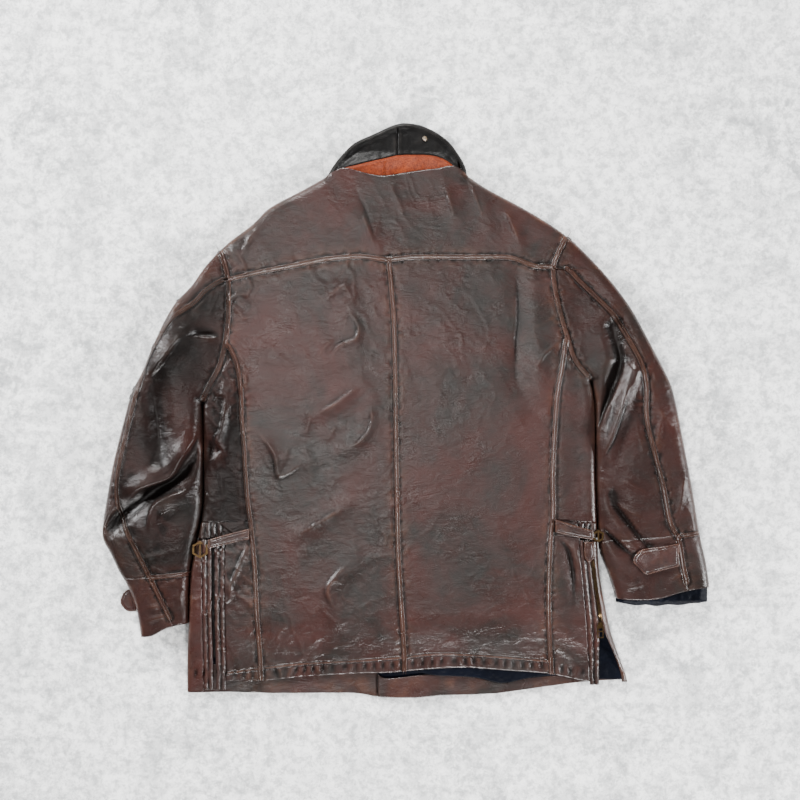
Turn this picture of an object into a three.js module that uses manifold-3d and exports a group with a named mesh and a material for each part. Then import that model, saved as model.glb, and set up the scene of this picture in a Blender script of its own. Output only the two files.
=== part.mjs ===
// A worn three-quarter-length leather coat, laid face down on a floor with its collar turned up.
// Millimetres. +Z is up, +Y points to the collar, and the floor is z = 0.
import * as THREE from "three";
import { mergeVertices } from "three/addons/utils/BufferGeometryUtils.js";
import Module from "manifold-3d";

const wasm = await Module();
wasm.setup();

// Thicknesses, heights and gaps
const WALL = 2.0;
const FACING_WALL = 1.5;
const SEAM_GAP = 0.3;
const RIM_HEIGHT = 2.2;
const EDGE_CLEARANCE = 4;
const SHOULDER_CLEARANCE = 10;
const COLLAR_CLEARANCE = 1.5;
const SOLID_RIM = 2.6;
const BODY_HEIGHT = 24;
const SLEEVE_HEIGHT = 37;
const HEM_HEIGHT = 10;
const COLLAR_HEIGHT = 13;
const COLLAR_DIP = 4.5;
const STAND_HEIGHT = 22;
const ROLL_RADIUS = 27;
const COLLAR_ROLL_RADIUS = 8;
const RIM_WIDTH = 7.5;
const STEEPEST_WALL = 2.2;
const GRID = 27;
const CORE_GRID = 42;
const CORE_CLEARANCE = 1.6;
const CENTRE_X = -10;
const SLEEVE_START = 285;
const SLEEVE_FULL = 385;
const SLEEVE_EDGE_GAP = 1.5;
const SEAM_SPLIT = 3.2;
const LEFT_PIT = 13;
const RIGHT_PIT = 49;

// Heights where the body's sides turn from the outer edge to the armhole, and where the rows begin and end
const NECK_LEFT = { x: -131, y: 384 };
const NECK_RIGHT = { x: 102, y: 385 };
const LEFT_HEAD = 268;
const RIGHT_HEAD = 290;
const RIGHT_SLEEVE_TOP = 294;
const LEFT_SLEEVE_END = -384;
const RIGHT_SLEEVE_END = -326;
const LEFT_LINING_END = -345;
const RIGHT_LINING_END = -317;
const LOWEST_ROW = -482;
const HIGHEST_BODY_ROW = 375;
const NECK_ROWS = [386, 402];
const FRONT_TOP_ROW = 383;
const BODY_LINING_ROWS = [-452, 345];
const COLLAR_ROWS = [378, 386, 394, 402, 411, 420, 430, 440, 449, 457, 463, 467.5, 470.5, 472.4];
const FAR = 600;
const ARMHOLE_OVERRUN = 12;
const CORE_INSET = 12;
const LOOK_AROUND = 21;
const THINNEST_CORE = 0.8;

// Flat stretches are drawn with fewer faces, within this distance
const FLATNESS = 0.06;
const EDGE_STEPS = [0, 2.2, 8, 20];

// Fronts: the right one lies on the left one near the centre
const OVERLAP_LEFT = -47;
const OVERLAP_RIGHT = 30;

// Outlines and seams, as points (x, y)
const LEFT_OUTER = [
  [-130, 384], [-169, 362], [-225, 332], [-252, 306], [-296, 272], [-329, 237], [-352, 204],
  [-379, 175], [-412, 112], [-428, 71], [-449, 30], [-457, 2], [-469, -44], [-480, -91],
  [-489, -141], [-495.5, -182], [-496.8, -204], [-493, -216], [-483, -234], [-472, -259],
  [-453, -293], [-441, -331], [-436, -367], [-435, -385],
];
const RIGHT_OUTER = [
  [101, 385], [131, 365], [174, 342], [210, 322], [263, 287], [303, 249], [339, 208], [369, 166],
  [396, 117], [432, 46], [440, 19], [454, -52], [466, -115], [480, -200], [485, -224], [490, -244],
  [496.7, -287], [497, -330],
];
const LEFT_EDGE = [
  [-333, 13], [-332, -90], [-333, -160], [-338, -192], [-345, -222], [-353, -265], [-357, -348],
  [-360, -400], [-360, -480],
];
const RIGHT_EDGE = [
  [303, 49], [309, 17], [311, -115], [313.5, -184], [316, -254], [323, -300], [337, -365],
  [351, -406], [363.5, -442], [368, -480],
];
const RIGHT_SLEEVE_EDGE = [
  [303, 49], [309, 17], [311, -115], [313.5, -184], [318, -230], [335, -276], [344, -307], [347, -330],
];
const LEFT_ARMHOLE = [
  [-306, 268], [-303, 261], [-294, 232], [-290, 212], [-289, 172], [-292, 126], [-295, 108],
  [-304, 73], [-319, 43], [-333, 13],
];
const RIGHT_ARMHOLE = [
  [268, 296], [263, 287], [246, 252], [240, 235], [242, 205], [251, 161], [262, 123], [276, 82],
  [303, 49],
];
const YOKE_SEAM = [
  [-310, 210], [-290, 214], [-248, 224], [-181, 237], [-130, 247], [-72, 251], [-30, 246], [8, 250],
  [109, 250], [172, 249], [212, 235], [238, 235], [262, 235],
];
const CENTRE_SEAM = [
  [-28, 247], [-20, 153], [-18, 77], [-16.5, -16], [-12, -247], [-3, -400], [-3, -470],
];
const LEFT_PRINCESS = [
  [-310, 125], [-294, 111], [-278, 82], [-270, 41], [-268, -14], [-264, -65], [-259, -141],
  [-252, -197], [-247, -253], [-244, -316], [-240, -390], [-237, -470],
];
const RIGHT_PRINCESS = [
  [272, 140], [262, 120], [255, 74], [247, 27], [242, -41], [239, -115], [240, -161], [236, -207],
  [233, -277], [233, -346], [239, -433], [240, -470],
];
const BACK_HEM = [
  [-380, -444], [-289, -444], [-236, -444], [-183, -438], [-76, -431.5], [-21, -430], [39, -424.5],
  [99, -422], [157, -426], [239, -433], [302, -445], [390, -445],
];
const NECK = [
  [-131, 384], [-102, 396], [-75, 390], [-54.5, 385], [-34, 383], [-7, 387], [26, 392], [52, 395],
  [79, 399], [101, 385],
];
const LEFT_SLEEVE_SEAM = [
  [-280, 218], [-297, 214], [-327, 195], [-343, 177], [-385, 145], [-406, 109], [-420, 82],
  [-436, 34], [-452, -30], [-468, -110], [-466, -160], [-448, -205], [-439, -223], [-415, -273],
  [-382, -346], [-372, -380],
];
const RIGHT_SLEEVE_SEAM = [
  [232, 236], [262, 232], [281, 213], [311, 183], [339, 153], [363, 112], [382, 74], [389, 41],
  [390, -14], [399, -55], [415, -115], [429, -184], [441, -207], [450, -254], [459, -293], [462, -330],
];
const LEFT_CUFF_END = [
  [-470, -372], [-433, -371], [-415, -368], [-390, -355], [-358, -348], [-340, -348],
];
const RIGHT_CUFF_END = [[330, -307], [406, -307], [453, -294], [497, -287], [510, -287]];
const LEFT_CUFF_SEAM = [[-500, -276], [-417, -271], [-347, -265], [-335, -264]];
const RIGHT_CUFF_SEAM = [[305, -214], [370, -211], [443, -203], [483, -198], [500, -197]];
const FRONT_HEM = [
  [-360, -464], [-289, -463], [-226, -465], [-76, -466], [-46, -471], [10, -472.6], [61, -469],
  [143, -466], [225, -455], [296, -446], [363.5, -442],
];
const COLLAR_OUTLINE = [
  [-131, 384], [-120, 403], [-103, 424], [-86, 440], [-61, 452], [-41, 461], [-24, 469], [-7, 473],
  [6, 473], [26, 469], [48, 459], [69, 444], [85, 424], [97, 403], [101, 385],
];
const STAND_TOP = [
  [-126, 378], [-102, 396], [-83, 401], [-58, 408], [-34, 414], [-14, 419], [10, 420], [40, 419],
  [60, 413], [79, 399], [98, 376],
];

// Waist casings, gathered on elastic
const CASING_TOP = -178;
const CASING_BOTTOM = -203;
const GATHER_PITCH = 10.5;
const GATHER_HEIGHT = 1.6;

// Vents: the left one is closed, the right one is open below its slider
const LEFT_VENT = { front: [-332, -316.6], back: [-312.4, -295.5] };
const RIGHT_TAPE_LEFT = [[283, -222], [301, -431], [302.5, -470]];
const RIGHT_TAPE_RIGHT = [[299, -222], [314, -343], [316, -365], [317, -470]];
const RIGHT_FLAP_INNER = [[303.5, -222], [318.5, -343], [323, -358], [351, -425], [357, -470]];
const RIDGE_HEIGHT = 1.3;
const LEFT_STRIP_END = -458;
const RIGHT_STRIP_END = -450;
const LEFT_CHAIN_END = -405;
const RIGHT_CHAIN_END = -344;
const STRIP_START = CASING_BOTTOM - 8;
const STRIP_GRID = 2.2;
const CHAIN_WALL = 1.2;
const SLIDER = {
  x: 316.6, y: -350, width: 7, length: 10, plate: 1.4, rise: 1.3, post: 1.2, bridge: 1.8, postShift: 2.6,
};
const PULL = { bar: 1.1, width: 10.5, length: 21, thickness: 1.1, frame: 1.7 };

// Hem facings, the lining's lower end, and the front seams under the sleeves
const FACING_TOP = [
  [-345, -425], [-60, -425], [-49, -432], [-40, -440], [39, -435], [116, -440], [157, -449],
  [200, -441], [300, -432],
];
const LEFT_FRONT_SEAM = [
  [-280, 130], [-370, 20], [-410, -100], [-425, -210], [-400, -300], [-395, -395],
];
const RIGHT_FRONT_SEAM = [[235, 150], [340, 60], [380, -60], [400, -180], [415, -340]];

// Straps, tabs and buckles
const STRAP_WALL = 2.4;
const LEFT_STRAP = [[-255, -192], [-322, -211], [-322, -224], [-255, -209]];
const RIGHT_STRAP = [[243, -177], [304, -195.5], [304, -210], [243, -198]];
const RIGHT_STRAP_END = [
  [290, -214], [304, -214], [307, -236], [303, -245], [297, -247], [292, -243], [290, -232],
];
const RIGHT_TAB = [[369, -235], [383, -225], [439, -216], [445, -251], [388, -265], [369, -247]];
const LEFT_TAB = [[-454.2, -293.6], [-465, -297], [-471, -316], [-454, -331], [-443.1, -330]];
const BUCKLE = { width: 25, length: 28, frame: 3.2, thickness: 2.2, bar: 2.4 };
const LEFT_BUCKLE = [-335, -226];
const RIGHT_BUCKLE = { at: [313.5, -204.5], size: 0.72 };
const SNAP = { at: [31, 447], radius: 4.3, height: 2.9, sunk: 1 };

// Corners away from the pieces, which close the shape of each cut
const CORNERS = {
  leftSleeve: [[-400, 12], [-400, 290], [-306, 290]],
  rightSleeve: [[400, 48], [400, 320], [268, 320]],
  aboveNeck: [[140, 385], [140, 480], [-160, 480], [-160, 384]],
  belowHem: [[390, -520], [-380, -520]],
  leftBody: [[-200, 12], [-200, 300], [-306, 300]],
  rightBody: [[180, 48], [180, 320], [268, 320]],
  belowFrontHem: [[390, -441], [390, -520], [-390, -520], [-390, -464]],
  belowFacing: [[380, -430], [380, -520], [-380, -520], [-380, -424]],
  belowNeck: [[120, 384], [120, 340], [-150, 340], [-150, 383]],
  insideRim: [[90, 360], [-122, 360]],
  rimSide: [[88, 360], [-120, 360]],
};
const FRONT_NECK = [[-124, 395], [-98, 345], [-50, 308], [-10, 300], [40, 312], [74, 348], [95, 395]];
const LEFT_FRONT_AREA = [[-400, -480], [OVERLAP_RIGHT, -480], [OVERLAP_RIGHT, 400], [-400, 400]];
const LEFT_FACING_AREA = [
  [-345, -480], [OVERLAP_LEFT - 1, -480], [OVERLAP_LEFT - 1, -400], [-345, -400],
];
const COLLAR_SEAM = [[-14, 475], [-14, 440], [-14, 405]];
const COLLAR_FOOT = [-130, 100.5];
const GATHERED_LEFT = [-338, -300];
const GATHERED_RIGHT = [272, 306];

// Points that lie on each piece of the cut-up layers
const BACK_SPOTS = {
  yoke: [30, 310],
  back_left: [-150, 0],
  back_right: [120, 0],
  side_back_left: [-295, -60],
  side_back_right: [275, -60],
  side_skirt_left: [-270, -320],
  side_skirt_right: [268, -320],
};
// Where the casings' seams sag toward the vents: x and how far below the seam's own height
const CASING_SAG = { left: [[-370, 6], [-300, 3]], right: [[280, 3], [340, 6]] };

// Heights between which the skirt falls to its hem, the sleeves rise to their crown and the folds fade
const SKIRT_FALL = [-330, -432];
const SLEEVE_RISE = [-400, -200];
const FOLD_FADE = [-440, -400];
const FOLD_RIM = 24;

// Where the collar rises to the neck, by height and by distance from its rim
const NECK_RISE = [430, 392];
const NECK_RISE_RIM = [3, 24];

// Rows and far columns of the flat walls that step over the front overlap
const RIGHT_FRONT_ROWS = [-480, -200, 100, 400];
const RIGHT_FRONT_FAR = [200, 380];
const FACING_ROWS = [-480, -440, -400];
const FACING_FAR = [200, 290];

// Distance of the fronts from the body's edge: at the vents, at the sides and above the shoulders
const VENT_INSET = 0.5;
const VENT_INSET_DROP = 11;
const SHOULDER_ROW = 255;

// Upper corners of the right vent's opening, and the snap's outline from its foot to its crown
const RIGHT_VENT_TOP = [304.2, 282];
const SNAP_OUTLINE = [[0, 0], [1, 0], [1, 0.35], [0.72, 0.8], [0, 1]];
const SNAP_SEGMENTS = 16;
const PROBE = { foot: -5, width: 1, height: 95 };

const FRONT_SIDE_SPOTS = { left: [-345, -330], right: [352, -425] };
const COLLAR_SPOTS = { stand: [0, 405], leaves: [0, 440], left: [-55, 435], right: [45, 432] };

// Pits and sleeve heads, where the walls come down to the floor and the linings stay clear
const CLEAR_PLACES = [[-333, 13, 24], [303, 49, 24], [-306, 264, 18], [265, 290, 14]];

// Folds that show from a step away: points, height and width
const FOLDS = [
  { at: [[-272, 60], [-262, -60], [-259, -150]], height: 3, width: 16 },
  { at: [[-255, 165], [-256, 0], [-254, -20]], height: -4, width: 20 },
  { at: [[-132, 185], [-99, 204], [-87, 180]], height: 4, width: 14 },
  { at: [[-97, 167], [-82, 90], [-125, 80]], height: 3.5, width: 15 },
  { at: [[-74, 43], [-107, 15], [-154, -9]], height: 4, width: 16 },
  { at: [[-60, 15], [-77, -50], [-97, -62]], height: 4, width: 14 },
  { at: [[-250, -29], [-216, -72], [-160, -82]], height: 4, width: 16 },
  { at: [[-99, -154], [-176, -202]], height: 4, width: 15 },
  { at: [[-84, -238], [-130, -290], [-112, -338]], height: 4, width: 16 },
  { at: [[-78, 318], [-49, 260]], height: 3, width: 14 },
  { at: [[62, 368], [78, 312]], height: 3, width: 13 },
  { at: [[109, 372], [134, 300]], height: 3, width: 14 },
  { at: [[158, 334], [186, 266]], height: 3, width: 14 },
  { at: [[-247, 304], [-274, 250]], height: 3, width: 14 },
  { at: [[180, 230], [181, 150], [178, 50], [206, 0]], height: -5, width: 18 },
  { at: [[206, 220], [212, 120], [222, 30]], height: 4, width: 16 },
  { at: [[244, -202], [266, -236], [277, -312]], height: -5, width: 13 },
  { at: [[-255, -210], [-292, -294]], height: 4, width: 13 },
  { at: [[-292, 37], [-302, -25], [-310, -80]], height: 5, width: 13 },
  { at: [[-360, 126], [-415, 52]], height: 6, width: 16 },
  { at: [[-410, 50], [-398, -80]], height: -9, width: 19 },
  { at: [[-337, -16], [-363, -82], [-433, -128]], height: 7, width: 17 },
  { at: [[-330, -65], [-401, -121], [-455, -165], [-488, -190]], height: -13, width: 15 },
  { at: [[-347, -128], [-409, -156], [-421, -202]], height: 6, width: 17 },
  { at: [[338, 136], [353, 82], [314, -34]], height: -11, width: 15 },
  { at: [[368, 62], [320, -78]], height: 6, width: 14 },
  { at: [[315, -184], [370, -235]], height: -7, width: 14 },
  { at: [[332, -138], [393, -220]], height: -6, width: 14 },
];

const LEATHER = { color: 0x3a2a24, roughness: 0.45, metalness: 0 };
const DARK_LEATHER = { color: 0x1d1916, roughness: 0.4, metalness: 0 };
const TAN_LEATHER = { color: 0xa8603a, roughness: 0.6, metalness: 0 };
const LINING = { color: 0x151a2c, roughness: 0.7, metalness: 0 };
const BRASS = { color: 0x96794a, roughness: 0.4, metalness: 0.9 };

// Smooth outline through the points given, with a step of about 12 mm
function smooth(points, step = 12) {
  const places = points.map(([x, y]) => new THREE.Vector3(x, y, 0));
  const curve = new THREE.CatmullRomCurve3(places, false, "centripetal");
  const count = Math.max(2, Math.round(curve.getLength() / step));
  return curve.getSpacedPoints(count).map((point) => [point.x, point.y]);
}

const outline = {
  leftOuter: smooth(LEFT_OUTER),
  rightOuter: smooth(RIGHT_OUTER),
  leftEdge: smooth(LEFT_EDGE),
  rightEdge: smooth(RIGHT_EDGE),
  rightSleeveEdge: smooth(RIGHT_SLEEVE_EDGE),
  leftArmhole: smooth(LEFT_ARMHOLE),
  rightArmhole: smooth(RIGHT_ARMHOLE),
  neck: smooth(NECK),
  collar: smooth(COLLAR_OUTLINE, 9),
};

function interpolate(points, value, from, to) {
  for (let i = 0; i + 1 < points.length; i += 1) {
    const a = points[i];
    const b = points[i + 1];
    if ((value - a[from]) * (value - b[from]) <= 0 && a[from] !== b[from]) {
      return a[to] + ((b[to] - a[to]) * (value - a[from])) / (b[from] - a[from]);
    }
  }
  const first = points[0];
  const last = points[points.length - 1];
  return Math.abs(value - first[from]) < Math.abs(value - last[from]) ? first[to] : last[to];
}

const xAt = (points, y) => interpolate(points, y, 1, 0);

function smoothstep(from, to, value) {
  const t = Math.min(1, Math.max(0, (value - from) / (to - from)));
  return t * t * (3 - 2 * t);
}

function distanceTo(points, x, y) {
  let best = Infinity;
  for (let i = 0; i + 1 < points.length; i += 1) {
    const [ax, ay] = points[i];
    const dx = points[i + 1][0] - ax;
    const dy = points[i + 1][1] - ay;
    const t = Math.min(1, Math.max(0, ((x - ax) * dx + (y - ay) * dy) / (dx * dx + dy * dy)));
    best = Math.min(best, Math.hypot(x - ax - t * dx, y - ay - t * dy));
  }
  return best;
}

function roll(distance, radius) {
  const s = Math.min(1, distance / radius);
  return Math.sqrt(1 - (1 - s) ** 2);
}

function foldHeight(x, y) {
  return FOLDS.reduce((sum, { at, height, width }) => {
    const away = distanceTo(at, x, y) / width;
    return sum + height * Math.exp(-(away ** 2));
  }, 0);
}

// Height of the cloth that lies over the fronts: a low dome that rolls down to the floor at its edges
function clothHeight(edges) {
  const rimDistance = (x, y) => Math.min(...edges.map((edge) => distanceTo(edge, x, y)));
  const height = (x, y) => {
    const distance = rimDistance(x, y);
    const sleeve = smoothstep(SLEEVE_START, SLEEVE_FULL, Math.abs(x - CENTRE_X));
    const body = BODY_HEIGHT - (BODY_HEIGHT - HEM_HEIGHT) * smoothstep(...SKIRT_FALL, y);
    const crown = body + (SLEEVE_HEIGHT - BODY_HEIGHT) * sleeve * smoothstep(...SLEEVE_RISE, y);
    const folds = foldHeight(x, y) * Math.min(1, distance / FOLD_RIM) * smoothstep(...FOLD_FADE, y);
    return RIM_HEIGHT + (crown - RIM_HEIGHT) * roll(distance, ROLL_RADIUS) + folds;
  };
  height.rimDistance = rimDistance;
  return height;
}

// The underside of a wall, thicker up and down where it is steep and solid at a rim on the floor
function underside(height, wall = WALL) {
  return (x, y) => {
    if (height.rimDistance && height.rimDistance(x, y) < SOLID_RIM) {
      return 0;
    }
    const slopeX = (height(x + 1.5, y) - height(x - 1.5, y)) / 3;
    const slopeY = (height(x, y + 1.5) - height(x, y - 1.5)) / 3;
    const steep = Math.min(STEEPEST_WALL, Math.hypot(1, slopeX, slopeY));
    return Math.max(0, height(x, y) - wall * steep);
  };
}

function toSolid(geometry) {
  geometry.deleteAttribute("normal");
  geometry.deleteAttribute("uv");
  const merged = mergeVertices(geometry, 1e-4);
  return new wasm.Manifold(new wasm.Mesh({
    numProp: 3,
    vertProperties: Float32Array.from(merged.attributes.position.array),
    triVerts: Uint32Array.from(merged.index.array),
  }));
}

// A wall between two heights over a grid whose rows run along X
function layer(rows, columns, top, bottom) {
  const positions = [];
  const index = [];
  const count = columns(rows[0]).length;
  const size = rows.length * count;
  for (const side of [top, bottom]) {
    for (const y of rows) {
      for (const x of columns(y)) {
        positions.push(x, y, side(x, y));
      }
    }
  }
  const quad = (a, b, c, d) => index.push(a, b, c, a, c, d);
  for (let i = 0; i + 1 < rows.length; i += 1) {
    for (let j = 0; j + 1 < count; j += 1) {
      const a = i * count + j;
      quad(a, a + 1, a + count + 1, a + count);
      quad(size + a, size + a + count, size + a + count + 1, size + a + 1);
    }
  }
  for (let j = 0; j + 1 < count; j += 1) {
    const far = (rows.length - 1) * count + j;
    quad(j, size + j, size + j + 1, j + 1);
    quad(far, far + 1, size + far + 1, size + far);
  }
  for (let i = 0; i + 1 < rows.length; i += 1) {
    const a = i * count;
    const b = a + count - 1;
    quad(a, a + count, size + a + count, size + a);
    quad(b, size + b, size + b + count, b + count);
  }
  const geometry = new THREE.BufferGeometry();
  geometry.setAttribute("position", new THREE.Float32BufferAttribute(positions, 3));
  geometry.setIndex(index);
  return toSolid(geometry);
}

function spaced(from, to, step) {
  const count = Math.max(1, Math.ceil(Math.abs(to - from) / step));
  return Array.from({ length: count + 1 }, (_, i) => from + ((to - from) * i) / count);
}

function evenly(from, to, parts) {
  return Array.from({ length: parts + 1 }, (_, i) => from + ((to - from) * i) / parts);
}

// Columns close together at both rolled edges and even between them
function edgedColumns(left, right, inner) {
  const width = Math.max(2, right - left);
  const last = EDGE_STEPS[EDGE_STEPS.length - 1];
  const scale = Math.min(1, width / (2.6 * last));
  const steps = EDGE_STEPS.map((step) => step * scale);
  const from = left + last * scale;
  const to = left + width - last * scale;
  const middle = Array.from({ length: inner }, (_, i) => from + ((to - from) * (i + 1)) / (inner + 1));
  const far = steps.map((step) => left + width - step).reverse();
  return [...steps.map((step) => left + step), ...middle, ...far];
}

function prism(points, low = -5, high = 90) {
  const shape = new THREE.Shape(points.map(([x, y]) => new THREE.Vector2(x, y)));
  const geometry = new THREE.ExtrudeGeometry(shape, { depth: high - low, bevelEnabled: false });
  return toSolid(geometry.translate(0, 0, low));
}

function block(x, y, z, width, length, height) {
  const [left, right, front, back] = [x - width / 2, x + width / 2, y - length / 2, y + length / 2];
  return prism([[left, front], [right, front], [right, back], [left, back]], z, z + height);
}

function offset(points, distance) {
  return points.map(([x, y], i) => {
    const before = points[Math.max(0, i - 1)];
    const after = points[Math.min(points.length - 1, i + 1)];
    const length = Math.hypot(after[0] - before[0], after[1] - before[1]);
    const shift = distance / length;
    return [x - (after[1] - before[1]) * shift, y + (after[0] - before[0]) * shift];
  });
}

// A narrow cut along a seam
function kerf(points, width = SEAM_GAP) {
  const line = smooth(points, 24);
  return prism([...offset(line, width / 2), ...offset(line, -width / 2).reverse()]);
}

function largest(solid) {
  return solid.decompose().sort((a, b) => b.volume() - a.volume())[0];
}

// The piece of a cut-up layer that stands at a point
function pieceAt(pieces, x, y) {
  const probe = prism([[x - 1, y - 1], [x + 1, y - 1], [x + 1, y + 1], [x - 1, y + 1]]);
  const found = pieces.filter((piece) => piece.intersect(probe).volume() > 0);
  if (found.length !== 1) {
    throw new Error(`${found.length} pieces at ${x}, ${y}`);
  }
  return found[0];
}

const coat = new THREE.Group();

function add(name, solid, finish) {
  const mesh = solid.getMesh();
  const geometry = new THREE.BufferGeometry();
  const positions = [];
  for (let i = 0; i < mesh.vertProperties.length; i += mesh.numProp) {
    positions.push(...mesh.vertProperties.slice(i, i + 3));
  }
  geometry.setAttribute("position", new THREE.Float32BufferAttribute(positions, 3));
  geometry.setIndex(Array.from(mesh.triVerts));
  geometry.computeVertexNormals();
  const part = new THREE.Mesh(geometry, new THREE.MeshStandardMaterial(finish));
  part.name = name;
  coat.add(part);
}

// Back layer, from hem to neck
const bodyEdges = [outline.leftOuter, outline.rightOuter, outline.leftEdge, outline.rightEdge];
const bodyHeight = clothHeight(bodyEdges);
function bodyLeft(y) {
  if (y > NECK_LEFT.y) {
    return NECK_LEFT.x;
  }
  if (y > LEFT_HEAD) {
    return xAt(outline.leftOuter, y);
  }
  return y > LEFT_PIT
    ? Math.max(xAt(outline.leftArmhole, y) - ARMHOLE_OVERRUN, xAt(outline.leftOuter, y))
    : xAt(outline.leftEdge, y);
}

function bodyRight(y) {
  if (y > NECK_RIGHT.y) {
    return NECK_RIGHT.x;
  }
  if (y > RIGHT_HEAD) {
    return xAt(outline.rightOuter, y);
  }
  return y > RIGHT_PIT
    ? Math.min(xAt(outline.rightArmhole, y) + ARMHOLE_OVERRUN, xAt(outline.rightOuter, y))
    : xAt(outline.rightEdge, y);
}

const bodyColumns = (y) => edgedColumns(bodyLeft(y), bodyRight(y), 17);
const bodyRows = [
  ...spaced(LOWEST_ROW, LEFT_PIT, GRID), LEFT_PIT + 2, RIGHT_PIT,
  ...spaced(RIGHT_PIT + 2, HIGHEST_BODY_ROW, GRID), ...NECK_ROWS,
];
const halfGap = SEAM_GAP / 2;
const leftSleeveSide = [...offset(outline.leftArmhole, halfGap), ...CORNERS.leftSleeve];
const rightSleeveSide = [...offset(outline.rightArmhole, -halfGap), ...CORNERS.rightSleeve];
const aboveNeck = [...offset(outline.neck, -halfGap), ...CORNERS.aboveNeck];
const belowHem = [...smooth(BACK_HEM), ...CORNERS.belowHem];
const leftBodySide = [...offset(outline.leftArmhole, -halfGap), ...CORNERS.leftBody];
const rightBodySide = [...offset(outline.rightArmhole, halfGap), ...CORNERS.rightBody];

const sagging = (points, y) => points.map(([x, drop]) => [x, y - drop]);
const casingLine = (side, y) => (side < 0
  ? [...sagging(CASING_SAG.left, y), [xAt(LEFT_PRINCESS, y), y]]
  : [[xAt(RIGHT_PRINCESS, y), y], ...sagging(CASING_SAG.right, y)]);
const casingLines = [CASING_TOP, CASING_BOTTOM]
  .flatMap((y) => [-1, 1].map((side) => kerf(casingLine(side, y))));
const ventTop = CASING_BOTTOM - 2;
const [ventLeft, ventRight] = [LEFT_VENT.front[0] - SEAM_GAP, LEFT_VENT.back[1] + SEAM_GAP];
const ventCuts = [
  prism([[ventLeft, ventTop], [ventRight, ventTop], [ventRight, -FAR], [ventLeft, -FAR]]),
  prism([
    ...offset(RIGHT_TAPE_LEFT, -SEAM_GAP), ...offset(RIGHT_FLAP_INNER, SEAM_GAP).reverse(),
    ...RIGHT_VENT_TOP.map((x) => [x, ventTop]),
  ]),
];
const solids = {};

function keep(name, solid, finish) {
  solids[name] = largest(solid.simplify(FLATNESS));
  add(name, solids[name], finish);
}

let back = layer(bodyRows, bodyColumns, bodyHeight, underside(bodyHeight));
for (const cut of [prism(leftSleeveSide), prism(rightSleeveSide), prism(aboveNeck), kerf(YOKE_SEAM),
  kerf(CENTRE_SEAM), kerf(LEFT_PRINCESS), kerf(RIGHT_PRINCESS), ...casingLines, ...ventCuts]) {
  back = back.subtract(cut);
}
const backPieces = back.subtract(prism(belowHem)).decompose();
for (const [name, spot] of Object.entries(BACK_SPOTS)) {
  keep(name, pieceAt(backPieces, ...spot), LEATHER);
}

// Fronts, flat on the floor, that turn up over the skirt's sides as far as the vents
function frontInset(y) {
  if (y < CASING_BOTTOM - VENT_INSET_DROP) {
    return VENT_INSET;
  }
  return y > SHOULDER_ROW ? SHOULDER_CLEARANCE : EDGE_CLEARANCE;
}
const frontRows = [...bodyRows.filter((y) => y <= HIGHEST_BODY_ROW), FRONT_TOP_ROW];
const frontOutline = prism([
  ...frontRows.map((y) => [bodyLeft(y) + frontInset(y), y]),
  ...frontRows.map((y) => [bodyRight(y) - frontInset(y), y]).reverse(),
]);
const belowFrontHem = prism([...smooth(FRONT_HEM), ...CORNERS.belowFrontHem]);
const frontArea = [prism(leftSleeveSide), prism(rightSleeveSide), prism(FRONT_NECK), belowFrontHem]
  .reduce((solid, cut) => solid.subtract(cut), frontOutline);
const levelFrom = OVERLAP_RIGHT + 32;
const overlapLift = (x) => (WALL + SEAM_GAP) * (1 - smoothstep(OVERLAP_RIGHT + 3, levelFrom, x));
const stepColumns = [OVERLAP_RIGHT + 3, OVERLAP_RIGHT + 12, OVERLAP_RIGHT + 22, levelFrom];
const rightFrontWall = layer(RIGHT_FRONT_ROWS, () => [OVERLAP_LEFT, ...stepColumns, ...RIGHT_FRONT_FAR],
  (x) => overlapLift(x) + WALL, overlapLift);
const leftFrontWall = prism(LEFT_FRONT_AREA, 0, WALL);
const stripPieces = back.subtract(belowFrontHem).decompose();
const leftFrontSide = pieceAt(stripPieces, ...FRONT_SIDE_SPOTS.left);
const rightFrontSide = pieceAt(stripPieces, ...FRONT_SIDE_SPOTS.right);
keep("front_left", frontArea.intersect(leftFrontWall).add(leftFrontSide), LEATHER);
keep("front_right", frontArea.intersect(rightFrontWall).add(rightFrontSide), LEATHER);

// Hem facings, seen below the back hem
const facingArea = prism([...smooth(FACING_TOP), ...offset(smooth(FRONT_HEM), 1.5).reverse()]);
const facingLow = WALL + SEAM_GAP;
const facingLeft = prism(LEFT_FACING_AREA, facingLow, facingLow + FACING_WALL);
const facingRight = layer(FACING_ROWS, () => [OVERLAP_LEFT + 1, ...stepColumns, ...FACING_FAR],
  (x) => overlapLift(x) + facingLow + FACING_WALL, (x) => overlapLift(x) + facingLow);
keep("hem_facing_left", facingArea.intersect(facingLeft), LEATHER);
keep("hem_facing_right", facingArea.intersect(facingRight), LEATHER);

// Lining and hidden layers of the body, one rounded solid
const raisedCore = [-100, 106];
const onOverlap = (x) => x > raisedCore[0] && x < raisedCore[1];
const coreFloor = (x) => (WALL + SEAM_GAP) * (onOverlap(x) ? 2 : 1);
const clearSpots = CLEAR_PLACES.map(([x, y, radius]) => prism(Array.from({ length: 12 }, (_, i) => {
  const angle = (i * Math.PI) / 6;
  return [x + radius * Math.cos(angle), y + radius * Math.sin(angle)];
})));

function lowestUnder(height, x, y) {
  const wall = underside(height);
  let lowest = wall(x, y);
  for (let i = 0; i < 8; i += 1) {
    const angle = (i * Math.PI) / 4;
    const beside = wall(x + LOOK_AROUND * Math.cos(angle), y + LOOK_AROUND * Math.sin(angle));
    lowest = Math.min(lowest, beside);
  }
  return lowest;
}

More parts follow.
